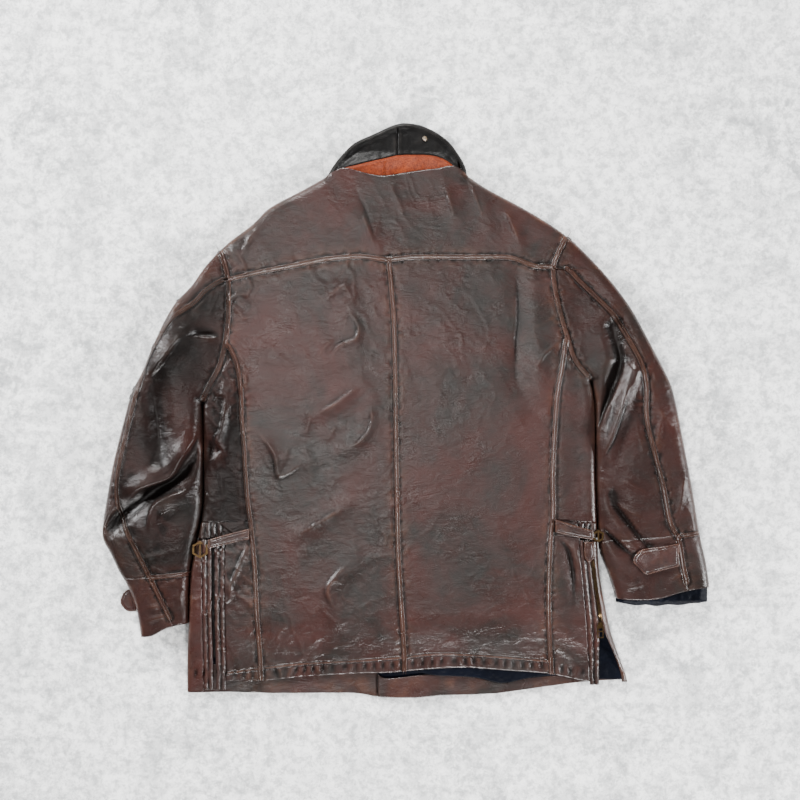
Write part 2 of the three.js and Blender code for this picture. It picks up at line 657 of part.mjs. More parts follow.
function coreCeiling(height, floor) {
  return (x, y) => Math.max(floor(x) + THINNEST_CORE, lowestUnder(height, x, y) - CORE_CLEARANCE);
}
const liningRows = spaced(...BODY_LINING_ROWS, CORE_GRID);
const liningColumns = (y) => {
  const from = bodyLeft(y) + CORE_INSET;
  const to = bodyRight(y) - CORE_INSET;
  const left = evenly(from + CORE_INSET, raisedCore[0] - 1, 4);
  const middle = evenly(raisedCore[0] + 1, raisedCore[1] - 1, 4);
  return [from, ...left, ...middle, ...evenly(raisedCore[1] + 1, to - CORE_INSET, 4), to];
};
const bodyCore = layer(liningRows, liningColumns, coreCeiling(bodyHeight, coreFloor), coreFloor);
const belowFacing = prism([...offset(smooth(FACING_TOP), 0.5), ...CORNERS.belowFacing]);
const coreCuts = [
  prism(leftSleeveSide), prism(rightSleeveSide), belowFacing, prism(aboveNeck), ...clearSpots,
];
keep("body_lining", coreCuts.reduce((solid, cut) => solid.subtract(cut), bodyCore), LINING);

// Waist casings, with their gathers raised
function casing(side) {
  const left = side < 0;
  const princess = left ? LEFT_PRINCESS : RIGHT_PRINCESS;
  const [from, to] = left ? GATHERED_LEFT : GATHERED_RIGHT;
  const wall = underside(bodyHeight);
  const height = (x, y) => {
    const inside = smoothstep(from - 5, from + 3, x) * (1 - smoothstep(to - 3, to + 5, x));
    return bodyHeight(x, y) + GATHER_HEIGHT * inside * Math.cos((2 * Math.PI * x) / GATHER_PITCH);
  };
  const bottom = (x, y) => Math.max(0, height(x, y) - (bodyHeight(x, y) - wall(x, y)));
  const rows = spaced(CASING_BOTTOM - 12, CASING_TOP + 4, 8);
  const sides = (y) => (left
    ? [bodyLeft(y) + SEAM_GAP, xAt(princess, y) - 2 * SEAM_GAP]
    : [xAt(princess, y) + 2 * SEAM_GAP, bodyRight(y) - SEAM_GAP]);
  const parts = Math.min(...rows.map((y) => spaced(...sides(y), 3).length)) - 1;
  const band = layer(rows, (y) => evenly(...sides(y), parts), (x, y) => height(x, y) + 1e-3, bottom);
  const top = offset(smooth(casingLine(side, CASING_TOP), 24), -SEAM_GAP);
  const base = offset(smooth(casingLine(side, CASING_BOTTOM), 24), SEAM_GAP);
  return band.intersect(prism([...base, ...top.reverse()]));
}
keep("waist_casing_left", casing(-1), LEATHER);
keep("waist_casing_right", casing(1), LEATHER);

// Vent strips with two stitched ridges each, and the zips between them
function strip({ left, right, end, ridges = 0, lift = 0, wall = WALL }) {
  const ridge = (t) => ridges * RIDGE_HEIGHT * Math.sin(Math.PI * 2 * Math.min(1, Math.max(0, t))) ** 2;
  const parts = Math.max(2, Math.round((right(STRIP_START) - left(STRIP_START)) / STRIP_GRID));
  const at = (x, y) => (x - left(y)) / (right(y) - left(y));
  const plainWall = underside(bodyHeight);
  const top = (x, y) => bodyHeight(x, y) + lift + ridge(at(x, y));
  const bottom = (x, y) => {
    const thickness = (wall / WALL) * (bodyHeight(x, y) - plainWall(x, y));
    return Math.max(0.5, bodyHeight(x, y) + lift - thickness);
  };
  return layer(spaced(end, STRIP_START, 32), (y) => evenly(left(y), right(y), parts), top, bottom);
}
keep("vent_strip_left_front", strip({
  left: () => LEFT_VENT.front[0],
  right: () => LEFT_VENT.front[1],
  end: LEFT_STRIP_END,
  ridges: 1,
}), LEATHER);
keep("vent_strip_left_back", strip({
  left: () => LEFT_VENT.back[0],
  right: () => LEFT_VENT.back[1],
  end: LEFT_STRIP_END,
  ridges: 1,
}), LEATHER);
keep("zip_left_chain", strip({
  left: () => LEFT_VENT.front[1] + SEAM_GAP,
  right: () => LEFT_VENT.back[0] - SEAM_GAP,
  end: LEFT_CHAIN_END,
  lift: -0.8,
  wall: CHAIN_WALL,
}), DARK_LEATHER);
keep("vent_strip_right", strip({
  left: (y) => xAt(RIGHT_TAPE_LEFT, y) + SEAM_GAP,
  right: (y) => xAt(RIGHT_TAPE_RIGHT, y) - SEAM_GAP,
  end: RIGHT_STRIP_END,
  ridges: 1,
}), LEATHER);
keep("zip_right_chain", strip({
  left: (y) => xAt(RIGHT_TAPE_RIGHT, y),
  right: (y) => xAt(RIGHT_FLAP_INNER, y) - 2 * SEAM_GAP,
  end: RIGHT_CHAIN_END,
  lift: -0.5,
  wall: CHAIN_WALL,
}), BRASS);

// Sleeves: a flattened tube each, parted at its back seam above, its front seam below and its cuff seam
function sleeve(side) {
  const left = side < 0;
  const name = left ? "left" : "right";
  const outer = left ? outline.leftOuter : outline.rightOuter;
  const inner = left
    ? outline.leftEdge.map(([x, y]) => [x - SLEEVE_EDGE_GAP, y])
    : outline.rightSleeveEdge.map(([x, y]) => [x + SLEEVE_EDGE_GAP, y]);
  const armhole = left ? outline.leftArmhole : outline.rightArmhole;
  const pit = left ? LEFT_PIT : RIGHT_PIT;
  const head = left ? LEFT_HEAD : RIGHT_SLEEVE_TOP;
  const end = left ? LEFT_SLEEVE_END : RIGHT_SLEEVE_END;
  const bodySide = prism(left ? leftBodySide : rightBodySide);
  const height = clothHeight([outer, inner]);
  const near = (y) => (y > pit ? xAt(armhole, y) - side * ARMHOLE_OVERRUN : xAt(inner, y));
  const limits = (y) => (left
    ? [xAt(outer, y), Math.max(near(y), xAt(outer, y) + 4)]
    : [Math.min(near(y), xAt(outer, y) - 4), xAt(outer, y)]);
  const rows = [end, ...bodyRows.filter((y) => y > end + 8 && y < head - 8), head];
  const shell = layer(rows, (y) => edgedColumns(...limits(y), 3), height, underside(height));
  const floor = prism([
    ...rows.map((y) => [limits(y)[0] + 0.5, y]),
    ...rows.map((y) => [limits(y)[1] - 0.5, y]).reverse(),
  ], 0, WALL);
  const cuffEnd = left ? LEFT_CUFF_END : RIGHT_CUFF_END;
  const belowCuff = prism([...cuffEnd, [cuffEnd.at(-1)[0], -480], [cuffEnd[0][0], -480]]);
  const between = (low, high) => prism([[-FAR, -FAR], [FAR, -FAR], [FAR, FAR], [-FAR, FAR]], low, high);
  const backSeam = kerf(left ? LEFT_SLEEVE_SEAM : RIGHT_SLEEVE_SEAM).intersect(between(SEAM_SPLIT, 90));
  const frontSeam = kerf(left ? LEFT_FRONT_SEAM : RIGHT_FRONT_SEAM).intersect(between(-5, SEAM_SPLIT));
  const cuffSeam = kerf(left ? LEFT_CUFF_SEAM : RIGHT_CUFF_SEAM);
  let tube = shell.add(floor);
  for (const cut of [bodySide, belowCuff, backSeam, frontSeam, cuffSeam]) {
    tube = tube.subtract(cut);
  }
  const pieces = tube.decompose().sort((a, b) => b.volume() - a.volume()).slice(0, 4);
  const centre = (piece) => {
    const box = piece.boundingBox();
    return [(box.min[0] + box.max[0]) / 2, (box.min[1] + box.max[1]) / 2];
  };
  pieces.sort((a, b) => centre(b)[1] - centre(a)[1]);
  const outward = (a, b) => Math.abs(centre(b)[0]) - Math.abs(centre(a)[0]);
  const upper = pieces.slice(0, 2).sort(outward);
  const cuffs = pieces.slice(2).sort(outward);
  keep(`sleeve_${name}_outer`, upper[0], LEATHER);
  keep(`sleeve_${name}_inner`, upper[1], LEATHER);
  keep(`cuff_${name}_outer`, cuffs[0], LEATHER);
  keep(`cuff_${name}_inner`, cuffs[1], LEATHER);

  const inset = (y) => Math.min(CORE_INSET, (limits(y)[1] - limits(y)[0]) / 4);
  const liningEnd = left ? LEFT_LINING_END : RIGHT_LINING_END;
  const low = () => WALL + SEAM_GAP;
  const coreRows = spaced(liningEnd, head - 20, CORE_GRID);
  const coreColumns = (y) => evenly(limits(y)[0] + inset(y), limits(y)[1] - inset(y), 5);
  const core = layer(coreRows, coreColumns, coreCeiling(height, low), low);
  const lining = [bodySide, ...clearSpots].reduce((solid, cut) => solid.subtract(cut), core);
  keep(`sleeve_${name}_lining`, lining, LINING);
  return height;
}
sleeve(-1);
const rightSleeveHeight = sleeve(1);

// A flat piece that lies on others: it follows them and stays a seam's gap above
function laidOn(points, height, wall, names) {
  const xs = points.map(([x]) => x);
  const ys = points.map(([, y]) => y);
  const columns = spaced(Math.min(...xs) - 2, Math.max(...xs) + 2, 9);
  const rows = spaced(Math.min(...ys) - 2, Math.max(...ys) + 2, 9);
  const top = (x, y) => height(x, y) + SEAM_GAP + wall;
  const sheet = layer(rows, () => columns, top, (x, y) => height(x, y) - 1);
  const above = (solid, name) => solid.subtract(solids[name].translate([0, 0, SEAM_GAP]));
  return names.reduce(above, sheet.intersect(prism(points)));
}

const ridgeTop = (x, y) => bodyHeight(x, y) + RIDGE_HEIGHT;
const underStraps = {
  left: [
    "back_left", "waist_casing_left", "side_skirt_left", "vent_strip_left_back",
    "vent_strip_left_front", "zip_left_chain",
  ],
  right: [
    "back_right", "waist_casing_right", "side_skirt_right", "vent_strip_right", "zip_right_chain",
    "front_right",
  ],
  end: [
    "side_skirt_right", "vent_strip_right", "zip_right_chain", "waist_casing_right", "strap_right",
    "front_right",
  ],
  tab: ["cuff_right_outer", "cuff_right_inner"],
};
keep("strap_left", laidOn(LEFT_STRAP, ridgeTop, STRAP_WALL, underStraps.left), LEATHER);
keep("strap_right", laidOn(RIGHT_STRAP, ridgeTop, STRAP_WALL, underStraps.right), LEATHER);
keep("strap_right_end", laidOn(RIGHT_STRAP_END, ridgeTop, STRAP_WALL, underStraps.end), LEATHER);
keep("cuff_tab_right", laidOn(RIGHT_TAB, rightSleeveHeight, STRAP_WALL, underStraps.tab), LEATHER);
keep("cuff_tab_left", prism(LEFT_TAB, 0, STRAP_WALL), LEATHER);

// Six-sided buckles: a frame with a bar, resting on what is highest beneath it
function buckle(centre, size, names) {
  const half = [(BUCKLE.width * size) / 2, (BUCKLE.length * size) / 2];
  const corners = [[0, -1], [1, -0.5], [1, 0.5], [0, 1], [-1, 0.5], [-1, -0.5]];
  const hexagon = (shrink) => corners
    .map(([u, v]) => [centre[0] + u * (half[0] - shrink), centre[1] + v * (half[1] - shrink)]);
  const column = prism(hexagon(0));
  const highest = Math.max(...names.map((name) => {
    const under = solids[name].intersect(column);
    return under.volume() > 0 ? under.boundingBox().max[2] : 0;
  }));
  const low = highest + SEAM_GAP;
  const frame = prism(hexagon(0), low, low + BUCKLE.thickness).subtract(prism(hexagon(BUCKLE.frame)));
  return frame.add(block(...centre, low, BUCKLE.bar, 2 * half[1] - 4, BUCKLE.thickness));
}
const leftSide = [
  "strap_left", "waist_casing_left", "front_left", "vent_strip_left_front", "vent_strip_left_back",
  "side_back_left", "sleeve_left_outer", "sleeve_left_inner", "cuff_left_inner",
];
const rightSide = [
  "strap_right", "strap_right_end", "waist_casing_right", "front_right", "vent_strip_right",
  "side_back_right", "sleeve_right_outer", "sleeve_right_inner",
];
keep("buckle_left", buckle(LEFT_BUCKLE, 1, leftSide), BRASS);
keep("buckle_right", buckle(RIGHT_BUCKLE.at, RIGHT_BUCKLE.size, rightSide), BRASS);

// Collar, turned up: a tan stand, an under collar in two halves, and a rolled rim
const collarHeight = (x, y) => {
  const distance = distanceTo(outline.collar, x, y);
  const dip = COLLAR_DIP * smoothstep(RIM_WIDTH - 2, RIM_WIDTH + 9, distance);
  const towardNeck = smoothstep(...NECK_RISE, y) * smoothstep(...NECK_RISE_RIM, distance);
  const rise = (STAND_HEIGHT - COLLAR_HEIGHT + COLLAR_DIP) * towardNeck;
  return RIM_HEIGHT + (COLLAR_HEIGHT - RIM_HEIGHT) * roll(distance, COLLAR_ROLL_RADIUS) - dip + rise;
};
const collarLeft = outline.collar.filter(([x]) => x <= 0);
const collarRight = outline.collar.filter(([x]) => x >= 0);
const collarLimits = (y) => (y < NECK_RIGHT.y
  ? COLLAR_FOOT
  : [xAt(collarLeft, y), xAt(collarRight, y)]);
const collarColumns = (y) => edgedColumns(...collarLimits(y), 6);
const belowNeck = prism([...offset(outline.neck, halfGap), ...CORNERS.belowNeck]);
const collar = layer(COLLAR_ROWS, collarColumns, collarHeight, underside(collarHeight)).subtract(belowNeck);
const insideRim = prism([...offset(outline.collar, -RIM_WIDTH), ...CORNERS.insideRim]);
const rimSide = prism([...offset(outline.collar, -RIM_WIDTH + SEAM_GAP), ...CORNERS.rimSide]);
const standAndLeaf = collar.intersect(insideRim).subtract(kerf(STAND_TOP)).decompose();
const leaves = pieceAt(standAndLeaf, ...COLLAR_SPOTS.leaves).subtract(kerf(COLLAR_SEAM)).decompose();
keep("collar_stand", pieceAt(standAndLeaf, ...COLLAR_SPOTS.stand), TAN_LEATHER);
keep("collar_leaf_left", pieceAt(leaves, ...COLLAR_SPOTS.left), DARK_LEATHER);
keep("collar_leaf_right", pieceAt(leaves, ...COLLAR_SPOTS.right), DARK_LEATHER);
keep("collar_rim", collar.subtract(rimSide), DARK_LEATHER);
const upperEdge = offset(outline.collar, -COLLAR_CLEARANCE).filter(([, y]) => y > NECK_RIGHT.y + 3);
const upperCollar = prism(upperEdge, 0, WALL);
keep("collar_upper", upperCollar, LEATHER);

// Snap on the under collar
const snapShape = new THREE.LatheGeometry(SNAP_OUTLINE
  .map(([r, h]) => new THREE.Vector2(r * SNAP.radius, h * SNAP.height)), SNAP_SEGMENTS);
snapShape.rotateX(Math.PI / 2);
const snapSpot = block(...SNAP.at, PROBE.foot, PROBE.width, PROBE.width, PROBE.height)
  .intersect(solids.collar_leaf_right);
snapShape.translate(...SNAP.at, snapSpot.boundingBox().max[2] - SNAP.sunk);
const snap = toSolid(snapShape).subtract(solids.collar_leaf_right.translate([0, 0, SEAM_GAP]));
keep("collar_snap", snap, BRASS);

// Right zip slider with its bridge, and the pull that swings in it
const sliderPad = block(SLIDER.x, SLIDER.y, -5, SLIDER.width, SLIDER.length, 95);
const sliderBase = Math.max(...["vent_strip_right", "zip_right_chain", "front_right"]
  .map((name) => solids[name].intersect(sliderPad))
  .filter((solid) => solid.volume() > 0).map((solid) => solid.boundingBox().max[2])) + SEAM_GAP;
const plateTop = sliderBase + SLIDER.plate;
const postHeight = 2 * SLIDER.rise;
const post = (shift) => block(SLIDER.x, SLIDER.y + shift, plateTop - 0.2, SLIDER.bridge, SLIDER.post,
  postHeight + 0.4);
const bridgeLength = 2 * SLIDER.postShift + SLIDER.post;
const slider = block(SLIDER.x, SLIDER.y, sliderBase, SLIDER.width, SLIDER.length, SLIDER.plate)
  .add(post(SLIDER.postShift))
  .add(post(-SLIDER.postShift))
  .add(block(SLIDER.x, SLIDER.y, plateTop + postHeight, SLIDER.bridge, bridgeLength, SLIDER.post));
keep("zip_right_slider", slider, BRASS);
const hingeZ = plateTop + SLIDER.rise;
const pullLow = hingeZ - PULL.thickness / 2;
const pullCentre = SLIDER.y - PULL.length / 2 + PULL.bar / 2;
const windowLength = (PULL.length - PULL.bar - 2 * PULL.frame) / 2;
const windowWidth = PULL.width - 2 * PULL.frame;
const pullWindow = (below) => block(SLIDER.x, SLIDER.y - PULL.bar / 2 - below, pullLow - 1, windowWidth,
  windowLength, 4);
const pull = block(SLIDER.x, pullCentre, pullLow, PULL.width, PULL.length, PULL.thickness)
  .subtract(pullWindow(windowLength / 2))
  .subtract(pullWindow(windowLength * 1.5 + PULL.frame));
keep("zip_right_pull", pull, BRASS);

export default coat;
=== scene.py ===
import math

import bmesh
import bpy
import numpy as np
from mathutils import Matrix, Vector


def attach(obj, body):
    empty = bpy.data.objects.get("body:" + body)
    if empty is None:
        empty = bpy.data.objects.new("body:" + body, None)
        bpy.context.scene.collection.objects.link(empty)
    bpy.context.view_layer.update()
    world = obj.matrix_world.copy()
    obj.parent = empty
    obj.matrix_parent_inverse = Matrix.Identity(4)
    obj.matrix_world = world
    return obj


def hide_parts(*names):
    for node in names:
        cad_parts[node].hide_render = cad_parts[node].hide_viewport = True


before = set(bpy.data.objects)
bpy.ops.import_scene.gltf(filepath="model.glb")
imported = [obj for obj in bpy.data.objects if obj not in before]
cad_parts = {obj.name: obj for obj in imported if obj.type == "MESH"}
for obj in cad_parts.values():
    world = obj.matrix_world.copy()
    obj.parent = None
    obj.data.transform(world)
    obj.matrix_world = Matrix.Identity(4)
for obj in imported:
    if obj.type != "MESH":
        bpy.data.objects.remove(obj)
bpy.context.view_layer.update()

bl_info = {
    "name": "Worn leather coat",
    "version": (1, 0, 0),
    "blender": (4, 5, 0),
    "location": "3D View > Sidebar > Coat",
    "description": "Builds a worn leather coat that lies face down with its collar up",
    "category": "Add Mesh",
}

BODY = "coat"
MM = 0.001

# Outlines and seams in millimetres, as the pattern pieces meet
LEFT_OUTER = [
    (-130, 384), (-169, 362), (-225, 332), (-252, 306), (-296, 272), (-329, 237), (-352, 204),
    (-379, 175), (-412, 112), (-428, 71), (-449, 30), (-457, 2), (-469, -44), (-480, -91),
    (-489, -141), (-495.5, -182), (-496.8, -204), (-493, -216), (-483, -234), (-472, -259),
    (-453, -293), (-441, -331), (-436, -367), (-435, -385)]
RIGHT_OUTER = [
    (101, 385), (131, 365), (174, 342), (210, 322), (263, 287), (303, 249), (339, 208), (369, 166),
    (396, 117), (432, 46), (440, 19), (454, -52), (466, -115), (480, -200), (485, -224), (490, -244),
    (496.7, -287), (497, -330)]
LEFT_EDGE = [
    (-333, 13), (-332, -90), (-333, -160), (-338, -192), (-345, -222), (-353, -265), (-357, -348),
    (-360, -400), (-360, -480)]
RIGHT_EDGE = [
    (303, 49), (309, 17), (311, -115), (313.5, -184), (316, -254), (323, -300), (337, -365),
    (351, -406), (363.5, -442), (368, -480)]
RIGHT_SLEEVE_EDGE = [
    (303, 49), (309, 17), (311, -115), (313.5, -184), (318, -230), (335, -276), (344, -307), (347, -330)]
LEFT_ARMHOLE = [
    (-306, 268), (-303, 261), (-294, 232), (-290, 212), (-289, 172), (-292, 126), (-295, 108),
    (-304, 73), (-319, 43), (-333, 13)]
RIGHT_ARMHOLE = [
    (268, 296), (263, 287), (246, 252), (240, 235), (242, 205), (251, 161), (262, 123), (276, 82),
    (303, 49)]
YOKE_SEAM = [
    (-310, 210), (-290, 214), (-248, 224), (-181, 237), (-130, 247), (-72, 251), (-30, 246), (8, 250),
    (109, 250), (172, 249), (212, 235), (238, 235), (262, 235)]
CENTRE_SEAM = [
    (-28, 260), (-28, 247), (-20, 153), (-18, 77), (-16.5, -16), (-12, -247), (-3, -400), (-3, -470)]
LEFT_PRINCESS = [
    (-310, 125), (-294, 111), (-278, 82), (-270, 41), (-268, -14), (-264, -65), (-259, -141),
    (-252, -197), (-247, -253), (-244, -316), (-240, -390), (-237, -470)]
RIGHT_PRINCESS = [
    (272, 140), (262, 120), (255, 74), (247, 27), (242, -41), (239, -115), (240, -161), (236, -207),
    (233, -277), (233, -346), (239, -433), (240, -470)]
BACK_HEM = [
    (-380, -444), (-289, -444), (-236, -444), (-183, -438), (-76, -431.5), (-21, -430), (39, -424.5),
    (99, -422), (157, -426), (239, -433), (302, -445), (390, -445)]
NECK = [
    (-131, 384), (-102, 396), (-75, 390), (-54.5, 385), (-34, 383), (-7, 387), (26, 392), (52, 395),
    (79, 399), (101, 385)]
LEFT_SLEEVE_SEAM = [
    (-280, 218), (-297, 214), (-327, 195), (-343, 177), (-385, 145), (-406, 109), (-420, 82),
    (-436, 34), (-452, -30), (-468, -110), (-466, -160), (-448, -205), (-439, -223), (-415, -273),
    (-382, -346), (-372, -380)]
RIGHT_SLEEVE_SEAM = [
    (232, 236), (262, 232), (281, 213), (311, 183), (339, 153), (363, 112), (382, 74), (389, 41),
    (390, -14), (399, -55), (415, -115), (429, -184), (441, -207), (450, -254), (459, -293), (462, -330)]
LEFT_CUFF_END = [(-470, -372), (-433, -371), (-415, -368), (-390, -355), (-358, -348), (-340, -348)]
RIGHT_CUFF_END = [(330, -307), (406, -307), (453, -294), (497, -287), (510, -287)]
LEFT_CUFF_SEAM = [(-500, -276), (-417, -271), (-347, -265), (-335, -264)]
RIGHT_CUFF_SEAM = [(305, -214), (370, -211), (443, -203), (483, -198), (500, -197)]
FRONT_HEM = [
    (-360, -464), (-289, -463), (-226, -465), (-76, -466), (-46, -471), (10, -472.6), (61, -469),
    (143, -466), (225, -455), (296, -446), (363.5, -442)]
COLLAR_OUTLINE = [
    (-131, 384), (-120, 403), (-103, 424), (-86, 440), (-61, 452), (-41, 461), (-24, 469), (-7, 473),
    (6, 473), (26, 469), (48, 459), (69, 444), (85, 424), (97, 403), (101, 385)]
STAND_TOP = [
    (-126, 378), (-102, 396), (-83, 401), (-58, 408), (-34, 414), (-14, 419), (10, 420), (40, 419),
    (60, 413), (79, 399), (98, 376)]

# Heights in millimetres
RIM = 2.2
BODY_HEIGHT = 24.0
SLEEVE_HEIGHT = 37.0
HEM_HEIGHT = 10.0
COLLAR_HEIGHT = 13.0
COLLAR_DIP = 4.5
STAND_HEIGHT = 22.0
FLOOR_LAYER = 1.9
SLEEVE_UNDERSIDE = 1.8

# Places and widths in millimetres
ROLL_RADIUS = 27.0
COLLAR_ROLL = 8.0
CENTRE_X = -10.0
BACK_REACH = 272
LEFT_PIT = 13.0
RIGHT_PIT = 49.0
SLEEVE_GAP = 0.2
WALL = 1.6
STRAP_THICKNESS = 2.2
SKIN = 0.02
BAND = 3.6
OUTLINE_STEP = 12
OUTSIDE = 500
NARROWEST_ROW = 0.05
SEAM_FAR_AWAY = 50.0

# Where the crown changes: across the sleeve, down to the hem, down the sleeve
SLEEVE_RISE = (285, 385)
HEM_FALL = (-330, -432)
CUFF_FALL = (-400, -200)

# Strength of each kind of fold
ROLL_POWER = 3.4
FOLD_ON_BACK, FOLD_ON_SLEEVE = 0.45, 1.05
CREASE_ON_BACK, CREASE_ON_SLEEVE = 0.85, 1.35
CREASE_GAIN = 1.2
OVERLAP_GAIN = 1.15
WAVE_HEIGHT = 0.5
PUCKER_HEIGHT = 1.4

# sew stops early for a cut narrower than this, in metres
NARROWEST_CUT = 0.011

# Large folds: points, height, width
FOLDS = [
    ([(-272, 60), (-262, -60), (-259, -150)], 3, 16), ([(-255, 165), (-256, 0), (-254, -20)], -4, 20),
    ([(-132, 185), (-99, 204), (-87, 180)], 4, 14), ([(-97, 167), (-82, 90), (-125, 80)], 3.5, 15),
    ([(-74, 43), (-107, 15), (-154, -9)], 4, 16), ([(-60, 15), (-77, -50), (-97, -62)], 4, 14),
    ([(-250, -29), (-216, -72), (-160, -82)], 4, 16), ([(-99, -154), (-176, -202)], 4, 15),
    ([(-84, -238), (-130, -290), (-112, -338)], 4, 16), ([(-78, 318), (-49, 260)], 3, 14),
    ([(62, 368), (78, 312)], 3, 13), ([(109, 372), (134, 300)], 3, 14), ([(158, 334), (186, 266)], 3, 14),
    ([(-247, 304), (-274, 250)], 3, 14), ([(180, 230), (181, 150), (178, 50), (206, 0)], -5, 18),
    ([(206, 220), (212, 120), (222, 30)], 4, 16), ([(244, -202), (266, -236), (277, -312)], -5, 13),
    ([(-255, -210), (-292, -294)], 4, 13), ([(-292, 37), (-302, -25), (-310, -80)], 5, 13),
    ([(-360, 126), (-415, 52)], 6, 16), ([(-410, 50), (-398, -80)], -9, 19),
    ([(-337, -16), (-363, -82), (-433, -128)], 7, 17),
    ([(-330, -65), (-401, -121), (-455, -165), (-488, -190)], -13, 15),
    ([(-347, -128), (-409, -156), (-421, -202)], 6, 17), ([(338, 136), (353, 82), (314, -34)], -11, 15),
    ([(368, 62), (320, -78)], 6, 14), ([(315, -184), (370, -235)], -7, 14),
    ([(332, -138), (393, -220)], -6, 14)]

# Fine creases: points, height, width, crisp on their crest
CREASES = [
    ([(-132, 186), (-99, 205), (-87, 181)], 1.0, 3.4),
    ([(-97, 167), (-79, 134), (-83, 118), (-111, 106), (-125, 80)], 1.5, 3),
    ([(-112, 120), (-132, 105), (-148, 80)], 1.3, 3), ([(-74, 44), (-110, 16), (-153, -9)], 1.7, 3),
    ([(-180, -24), (-165, -37), (-155, 16)], 1.4, 3),
    ([(-59, 16), (-59, -27), (-77, -50), (-97, -62)], 1.6, 3), ([(-112, -22), (-132, -55)], 1.3, 3),
    ([(-249, -29), (-216, -72), (-208, -108), (-160, -82)], 1.7, 3.2), ([(-78, 220), (-46, 187)], 1.2, 3),
    ([(-99, -154), (-176, -202)], 1.6, 3), ([(-165, -219), (-160, -247)], 1.3, 3),
    ([(-84, -238), (-120, -273), (-130, -295), (-112, -337)], 1.6, 3),
    ([(-92, -280), (-102, -303)], 1.3, 3), ([(-74, 322), (-50, 260)], 1.4, 3),
    ([(-89, 375), (-63, 319), (-45, 255)], -1.6, 3.2), ([(-30, 384), (-21, 359), (0, 311)], 1.3, 3),
    ([(63, 369), (77, 313)], 1.4, 3), ([(99, 382), (129, 303)], 1.4, 3),
    ([(109, 372), (133, 295)], -1.3, 3), ([(158, 334), (186, 266)], 1.4, 3),
    ([(-248, 304), (-259, 276), (-274, 250)], 1.4, 3),
    ([(178, 233), (181, 153), (177, 103), (180, 52), (206, 1)], -1.2, 4),
    ([(255, 160), (214, 138), (196, 130)], 1.4, 2.6), ([(252, 190), (220, 172), (202, 168)], 1.3, 2.6),
    ([(246, 215), (216, 208), (200, 205)], 1.2, 2.6), ([(262, 120), (226, 92), (208, 60)], 1.4, 2.8),
    ([(244, -202), (266, -225), (274, -253), (277, -313)], -1.8, 3.5),
    ([(272, -211), (284, -263)], 1.5, 3), ([(-256, -210), (-292, -295)], 1.6, 3),
    ([(-292, 37), (-302, -32), (-310, -50), (-300, -65), (-322, -83)], 1.8, 3),
    ([(-325, -154), (-313, -175)], 1.4, 2.6), ([(-303, -90), (-298, -150)], 1.2, 3),
    ([(-360, 126), (-416, 52)], 1.8, 3.4), ([(-356, 118), (-304, 126)], -1.8, 5),
    ([(-413, 50), (-398, -80)], -2.4, 5),
    ([(-337, -17), (-341, -45), (-363, -82), (-380, -108), (-434, -129), (-459, -158)], 2.2, 3.4),
    ([(-347, -128), (-384, -137), (-409, -153), (-421, -202)], 2.0, 3.4),
    ([(-475, -166), (-497, -202), (-483, -229)], 1.8, 3.4), ([(-460, -180), (-420, -196)], 1.4, 3),
    ([(-470, -205), (-425, -214)], 1.5, 3), ([(-440, -240), (-380, -232)], 1.4, 3),
    ([(-430, -322), (-372, -316)], 1.5, 3), ([(-432, -345), (-378, -330)], 1.4, 3),
    ([(-372, -290), (-362, -330)], 1.2, 3), ([(338, 136), (353, 82), (314, -34), (312, -82)], -2.4, 4.4),
    ([(353, 82), (314, -34)], 2.0, 3.2), ([(370, 62), (317, -78)], 1.9, 3.2),
    ([(315, -184), (370, -235)], -1.9, 3.6), ([(332, -138), (393, -220)], -1.8, 3.4),
    ([(330, 180), (352, 150)], 1.3, 3), ([(420, 20), (400, -90)], 1.2, 3.4),
    ([(452, -100), (440, -180)], 1.3, 3), ([(400, 10), (436, -30)], 1.2, 3),
    ([(345, -110), (392, -135)], 1.4, 3), ([(335, -150), (384, -176)], 1.3, 3),
    ([(350, -290), (400, -278)], 1.3, 3), ([(420, -280), (455, -262)], 1.2, 3)]

# Folds that lie over what is below them: line, rise, reach; the high side is on the line's left
OVERLAPS = [
    ([(-459, -158), (-434, -130), (-406, -120), (-380, -108), (-363, -82), (-341, -45), (-337, -17)], 11, 26),
    ([(-416, 52), (-390, 84), (-360, 126)], 7, 17), ([(-303, 118), (-340, 122), (-357, 118)], 5, 16),
    ([(-421, -202), (-409, -153), (-384, -137), (-347, -128)], -6, 18),
    ([(-497, -202), (-476, -166), (-462, -158)], 7, 12), ([(-483, -229), (-497, -204)], 5, 10),
    ([(-322, -83), (-300, -65), (-310, -50), (-302, -32), (-292, 37)], -4.5, 12),
    ([(-292, -295), (-256, -210)], -4, 12), ([(314, -82), (314, -34), (353, 82), (338, 136)], -8, 15),
    ([(298, -80), (317, -78), (368, 62)], 4, 12), ([(370, -235), (315, -184)], -6, 12),
    ([(393, -220), (332, -138)], -5, 11), ([(277, -313), (274, -253), (266, -225), (244, -202)], -4, 11),
    ([(-153, -9), (-110, 16), (-74, 44)], -2.4, 12),
    ([(-97, -62), (-77, -50), (-59, -27), (-59, 16)], -2.2, 11),
    ([(-125, 80), (-111, 106), (-83, 118), (-79, 134), (-97, 167)], -2.2, 11),
    ([(-132, 186), (-99, 205), (-87, 181)], -1.3, 10),
    ([(-160, -82), (-208, -108), (-216, -72), (-249, -29)], -2.4, 12),
    ([(-176, -202), (-99, -154)], -2.0, 12),
    ([(-112, -337), (-130, -295), (-120, -273), (-84, -238)], -2.0, 12),
    ([(-50, 260), (-74, 322)], -2.0, 9), ([(77, 313), (63, 369)], -1.8, 9),
    ([(129, 303), (99, 382)], -2.0, 9), ([(186, 266), (158, 334)], -1.8, 9),
    ([(-274, 250), (-259, 276), (-248, 304)], -2.0, 9),
    ([(180, 52), (177, 103), (181, 153), (178, 233)], 1.5, 14)]


